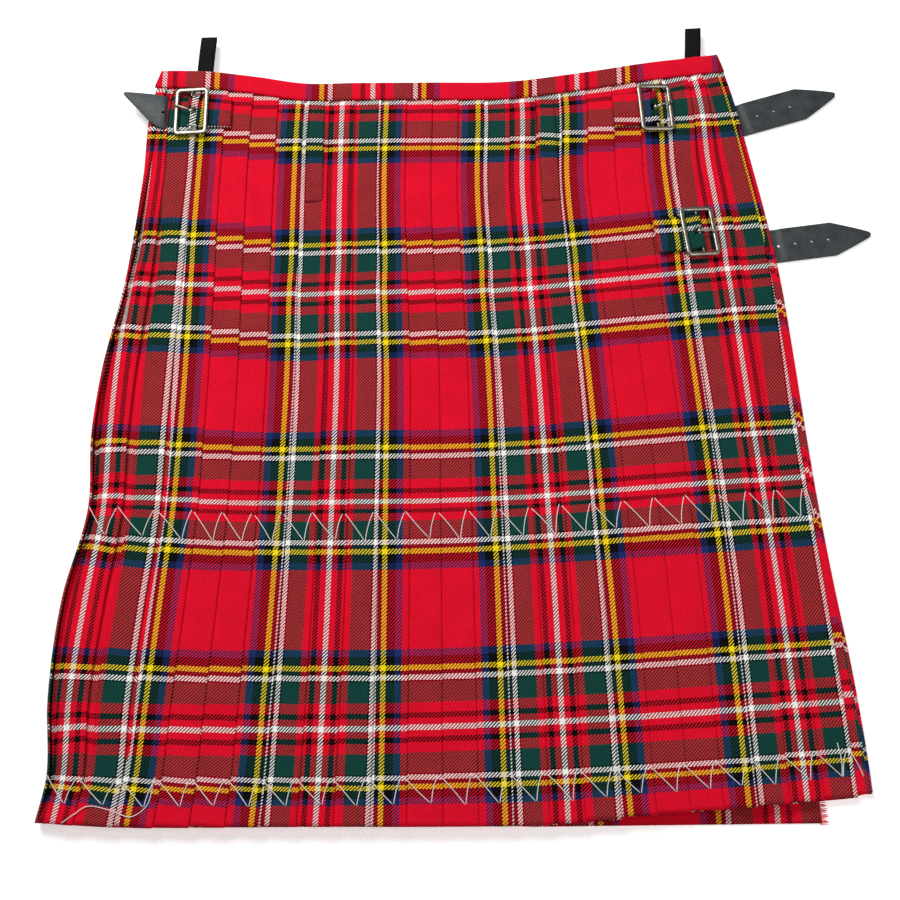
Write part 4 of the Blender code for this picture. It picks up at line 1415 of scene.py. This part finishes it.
@dataclass
class Tab:
    """A strip of the tartan folded round the centre bar and sewn down, its check matched."""

    layout: Layout
    twill: bpy.types.Material
    seat: Seat
    panel: int  # the face whose pattern it carries on
    length: float
    width: float
    slip: float = 0.0  # mm that its pattern sits above the cloth's

    def profile(self) -> list[tuple[float, float]]:
        """Middle line of the strip: back under the frame, round the bar and back above."""
        low, high, radius = -2.3, -1.0, 1.95
        line = [(-self.length, low), (-self.length * 0.6, low), (-8.0, low), (-3.4, low + 0.1)]
        for degrees in (-100, -60, -20, 20, 60, 100):
            turn = math.radians(degrees)
            line.append((radius * math.cos(turn), radius * math.sin(turn)))
        line += [(-3.2, 0.9), (-4.3, 0.45), (-6.0, -0.3), (-9.0, high + 0.1), (-14.0, high - 0.1)]
        line += [(-self.length * 0.7, high)]
        line += [(-self.length + 0.8, high), (-self.length + 0.1, high - 0.35)]
        return line

    def build(self) -> bpy.types.Object:
        """Fold the strip and return the piece."""
        half = self.width / 2
        across = (-half, -half + 0.3, -half * 0.6, -SLOT_HALF, 0.0, SLOT_HALF, half * 0.6, half - 0.3, half)
        drop = (0.25, 0.0, 0.0, 0.0, 0.0, 0.0, 0.0, 0.0, 0.25)
        points = np.array([[(x, y, z - dz) for y, dz in zip(across, drop)] for x, z in self.profile()])
        placed = self.seat.place(points)
        cloth = np.array(
            [[self.layout.cloth_at(self.panel, x, y - self.slip) for x, y, _ in row] for row in placed]
        )
        name = f"tab_{self.seat.side}_cloth"
        mesh = grid_mesh(name, placed, cloth)
        self.slot(mesh, points)
        piece = link_mesh(name, mesh, self.twill)
        thicken(piece, 0.7)
        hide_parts(f"tab_{self.seat.side}")
        cut = float(np.linalg.norm(np.diff(self.profile(), axis=0), axis=1).sum())
        return piece

    def slot(self, mesh: bpy.types.Mesh, points: np.ndarray) -> None:
        """Open the strip where the prong comes through the fold."""
        count = points.shape[1]
        work = bmesh.new()
        work.from_mesh(mesh)
        work.faces.ensure_lookup_table()
        inside = []
        for number, face in enumerate(list(work.faces)):
            row, column = divmod(number, count - 1)
            middle = (points[row, column] + points[row + 1, column + 1]) / 2
            if abs(middle[1]) < SLOT_HALF and middle[0] > SLOT_BACK:
                inside.append(face)
        bmesh.ops.delete(work, geom=inside, context="FACES")
        work.to_mesh(mesh)
        work.free()


# ---------------------------------------------------------------- loose threads


@dataclass
class Fringe:
    """Loose weft ends along the over apron's free edge, each in the colour of its own pick."""

    layout: Layout
    wool: bpy.types.Material
    part: str
    spacing: float = 0.8  # mm; every fifth end or so of the real edge has dropped out

    def build(self) -> bpy.types.Object:
        """Fray the edge and return the piece."""
        low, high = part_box(f"apron_fringe_{self.part}")
        first, last = low[1] / MM + ORIGIN[1], high[1] / MM + ORIGIN[1]
        tubes, rows = [], []
        heights = np.linspace(-278.9, 316.0, 90)
        over_rise = self.layout.value("over_rise", heights)
        edges = self.layout.value("over_edge", heights)
        folds = np.array([self.layout.fold_at(y, x) for y, x in zip(heights, edges)])
        lifted = heights + self.layout.bow(heights, folds, over_rise)
        for number, y in enumerate(np.arange(first + 0.5, last - 0.5, self.spacing)):
            x = float(np.interp(y, lifted, edges))
            row = float(np.interp(y, lifted, heights))
            wave = math.sin(number * 2.4) + 0.6 * math.sin(number * 0.83 + 1.0)
            reach = 4.4 + 0.7 * wave
            bend = 0.8 * math.sin(number * 1.31)
            share = np.linspace(0, 1, 5)
            along = x - 1.5 + (reach + 1.5) * share
            path = np.column_stack((along, y + bend * share * share, 0.45 + 0.15 * np.sin(share * 3)))
            tubes.append(tube_points(path, np.linspace(0.3, 0.2, 5), 4))
            rows.append(float(self.layout.cloth_height(np.array(row))))
        name = f"apron_fringe_{self.part}_ends"
        piece = link_mesh(name, tubes_mesh(name, tubes, rows), self.wool)
        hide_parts(f"apron_fringe_{self.part}")
        return piece


@dataclass
class Basting:
    """A row of long slanting tacks that hold the pleats flat until the kilt is first worn."""

    layout: Layout
    cotton: bpy.types.Material
    name: str
    row: float  # height of the upper ends at each fold
    stitch: float  # how far down the lower ends lie
    lead: tuple[tuple[float, float], ...]  # a free end before the first stitch, as places
    tail: tuple[tuple[float, float], ...]  # a free end after the last
    radius: float = 0.36

    def laid(self, line: np.ndarray, ends: float = 0.9) -> np.ndarray:
        """Drape a line of places on the cloth, its ends drawn in by so many millimetres."""
        under = np.array([self.layout.surface(x, y) for x, y in line]) + self.radius * 0.8
        share = np.linspace(0, 1, len(line))
        taut = under[0] + (under[-1] - under[0]) * share
        z = np.maximum(under, np.minimum(taut, under + 1.2)) + 0.12 * np.sin(math.pi * share)
        z[0] -= ends
        z[-1] -= ends
        return np.column_stack((line, z))

    def stitch_path(self, start: tuple[float, float], end: tuple[float, float], bend: float) -> np.ndarray:
        """One laid stitch between two places, bowed sideways by bend millimetres."""
        share = np.linspace(0, 1, 13)
        line = np.outer(1 - share, start) + np.outer(share, end)
        side = np.array((end[1] - start[1], start[0] - end[0]))
        line += np.outer(np.sin(math.pi * share), side / np.linalg.norm(side)) * bend
        return self.laid(line)

    def spot(self, fold: int, row: float, left: float) -> tuple[float, float]:
        """A place some millimetres left of a fold on a row."""
        here = np.array(row)
        x = float(self.layout.x(here, np.array(float(fold)))) - left
        near = np.array(self.layout.fold_at(row, x))
        return x, row + float(self.layout.bow(here, near))

    def build(self) -> bpy.types.Object:
        """Sew the row and return the piece."""
        paths = []
        for fold in range(0, PANELS):
            uneven = math.sin(fold * 2.1) + 0.5 * math.sin(fold * 0.7 + 2.0)
            top = self.spot(fold, self.row + 0.9 * uneven, 2.4 + 0.8 * uneven if fold else -1.8)
            left = 9.2 + 0.9 * math.sin(fold * 1.7)
            foot = self.spot(fold + 1, self.row - self.stitch + 0.7 * uneven, left)
            if fold == PANELS - 1:
                foot = (foot[0] + 5.0, foot[1])
            paths.append(self.stitch_path(top, foot, 0.5 * uneven))
            if fold < PANELS - 1:
                after = self.spot(fold + 1, self.row + 0.4 - 0.9 * uneven, 3.6)
                paths.append(self.stitch_path((foot[0] + 0.5, foot[1] - 0.4), after, -0.9))
        for free in (self.lead, self.tail):
            if free:
                line = smooth_path([(*spot, 0.0) for spot in free], 10 * len(free))[:, :2]
                paths.append(self.laid(line, 0.0))
        tubes = [tube_points(path, self.radius, 6) for path in paths]
        return link_mesh(self.name, tubes_mesh(self.name, tubes), self.cotton)


# ---------------------------------------------------------------- studio


@dataclass
class Studio:
    """A pale floor, soft light from above and the camera."""

    target: tuple[float, float, float] = (-0.02358, -0.04801, 0.013)
    arm: tuple[float, float, float] = (0.0, -0.2945, 1.0006)
    lens: float = 54.3

    def floor(self) -> None:
        """Lay a seamless pale floor."""
        bpy.ops.mesh.primitive_plane_add(size=6.0, location=(0, 0, -0.0005))
        floor = bpy.context.object
        floor.name = "studio_floor"
        material, _, shader = new_material("matt_white_paper")
        shader.inputs["Base Color"].default_value = (0.98, 0.98, 0.98, 1)
        shader.inputs["Roughness"].default_value = 0.9
        shader.inputs["Specular IOR Level"].default_value = 0.1
        shader.inputs["Emission Color"].default_value = (1, 1, 1, 1)
        shader.inputs["Emission Strength"].default_value = 0.4
        floor.data.materials.append(material)

    def lights(self) -> None:
        """One broad key over the waist end, a fill and a bright room."""
        world = bpy.data.worlds.new("studio")
        bpy.context.scene.world = world
        world.use_nodes = True
        tree = world.node_tree
        background = tree.nodes["Background"]
        # Darker towards the horizon, so that polished metal has something to show.
        split = add_node(tree, "SeparateXYZ", Vector=add_node(tree, "TexCoord").outputs["Generated"])
        strength = add_node(tree, "MapRange", i0=split.outputs["Z"], i1=0.1, i2=0.8, i3=0.30, i4=1.10)
        tree.links.new(strength.outputs[0], background.inputs["Strength"])
        for name, place, size, power in (
            ("key", (-0.75, 0.95, 1.5), 0.9, 31.0),
            ("fill", (0.95, -0.5, 1.7), 1.4, 16.0),
        ):
            data = bpy.data.lights.new(name, "AREA")
            data.size, data.energy = size, power
            lamp = bpy.data.objects.new(name, data)
            lamp.location = place
            aim = Vector((0, 0, 0)) - Vector(place)
            lamp.rotation_euler = aim.to_track_quat("-Z", "Y").to_euler()
            bpy.context.scene.collection.objects.link(lamp)

    def camera(self) -> None:
        """Set up the camera above the hem end."""
        data = bpy.data.cameras.new("camera")
        data.lens, data.sensor_width = self.lens, 36.0
        data.clip_start, data.clip_end = 0.05, 20.0
        camera = bpy.data.objects.new("camera", data)
        target = Vector(self.target)
        camera.location = target + Vector(self.arm)
        camera.rotation_euler = (target - camera.location).to_track_quat("-Z", "Y").to_euler()
        bpy.context.scene.collection.objects.link(camera)
        bpy.context.scene.camera = camera
        bpy.context.scene.view_settings.view_transform = "Standard"
        bpy.context.scene.cycles.use_denoising = False

    def build(self) -> None:
        """Set the whole studio."""
        self.floor()
        self.lights()
        self.camera()


def main() -> None:
    """Build the kilt piece by piece."""
    logging.basicConfig(level=logging.INFO, format="%(message)s")
    layout = Layout()
    twill = WorstedTwill().build()
    leather = GrainedLeather().build()
    nickel = PlatedNickel().build()
    tape = RibbedTape().build()
    cotton = SewingThread().build()
    Studio().build()
    wool = LooseWool().build()

    def level(height: float) -> Callable[[np.ndarray], np.ndarray]:
        """A leg of a band that lies at one height along its whole length."""
        return lambda fold: height + 0 * fold

    def over_pleats(fold: np.ndarray) -> np.ndarray:
        """The back band's upper leg, which lies on the pleats."""
        return layout.stack_top(np.array(WAIST_Y), fold) + 0.3 + CAD_LAYER

    seats = {
        "left": Seat("left", 180.0, 0.0),
        "right_top": Seat("right_top", 4.0, 0.1),
        "right_low": Seat("right_low", 7.5, 3.9),
    }
    pieces = [
        PleatedBack(layout, twill),
        Apron(layout, twill, "over_apron_cloth", "over_apron", True, (0.57, 0.6), ["studio_floor"]),
        Apron(layout, twill, "under_apron_cloth", "under_apron", False, (0.55, 0.6), ["over_apron"]),
        Waistband(layout, twill, "waistband_back_cloth", "waistband_back",
                  level(5.2 + CLOTH / 2), over_pleats),
        Waistband(layout, twill, "waistband_over_cloth", "waistband_over_apron",
                  level(0.35), level(2.0), trim=3.0),
        Waistband(layout, twill, "waistband_under_cloth", "waistband_under_apron",
                  level(2.9), level(4.6), trim=3.0),
        BeltLoop(layout, twill, "left", -111.5, -110.5, 303.4, 209.8, 6, 0.6),
        BeltLoop(layout, twill, "right", 79.0, 82.5, 306.0, 211.0, 16, 0.6),
        Hanger(layout, tape, "left", -205.2, 36.0),
        Hanger(layout, tape, "right", 203.9, 31.0),
        EdgeStrap(leather, "right_top", (242.5, 290.8), 17.0, 13.5, 85.3, 15.6, 14.7, 3),
        EdgeStrap(leather, "right_low", (264.2, 176.2), 7.8, 23.5, 79.6, 3.2, 13.7, 4),
        SlitStrap(leather),
        Tab(layout, twill, seats["left"], 2, 33.0, 27.0),
        Tab(layout, twill, seats["right_top"], 20, 35.0, 29.0),
        Tab(layout, twill, seats["right_low"], 21, 36.0, 29.0),
    ]
    for seat, lean in ((seats["left"], -21.0), (seats["right_top"], 16.0), (seats["right_low"], -6.0)):
        pieces += [BuckleFrame(seat, nickel), Prong(seat, nickel, lean)]
    pieces += [Fringe(layout, wool, "low"), Fringe(layout, wool, "high")]
    pieces.append(Basting(layout, cotton, "basting_upper", -48.5, 21.5, (), ()))
    pieces.append(
        Basting(layout, cotton, "basting_lower", -243.0, 20.5,
                ((-212.1, -245.3), (-217.2, -266.0), (-226.1, -272.0), (-242.8, -267.5), (-260.0, -265.4),
                 (-268.2, -270.9), (-276.1, -276.5)),
                ((281.5, -220.0), (283.6, -232.7), (283.2, -243.9)))
    )
    for piece in pieces:
        log.info("built %s", piece.build().name)


if __name__ == "__main__":
    main()
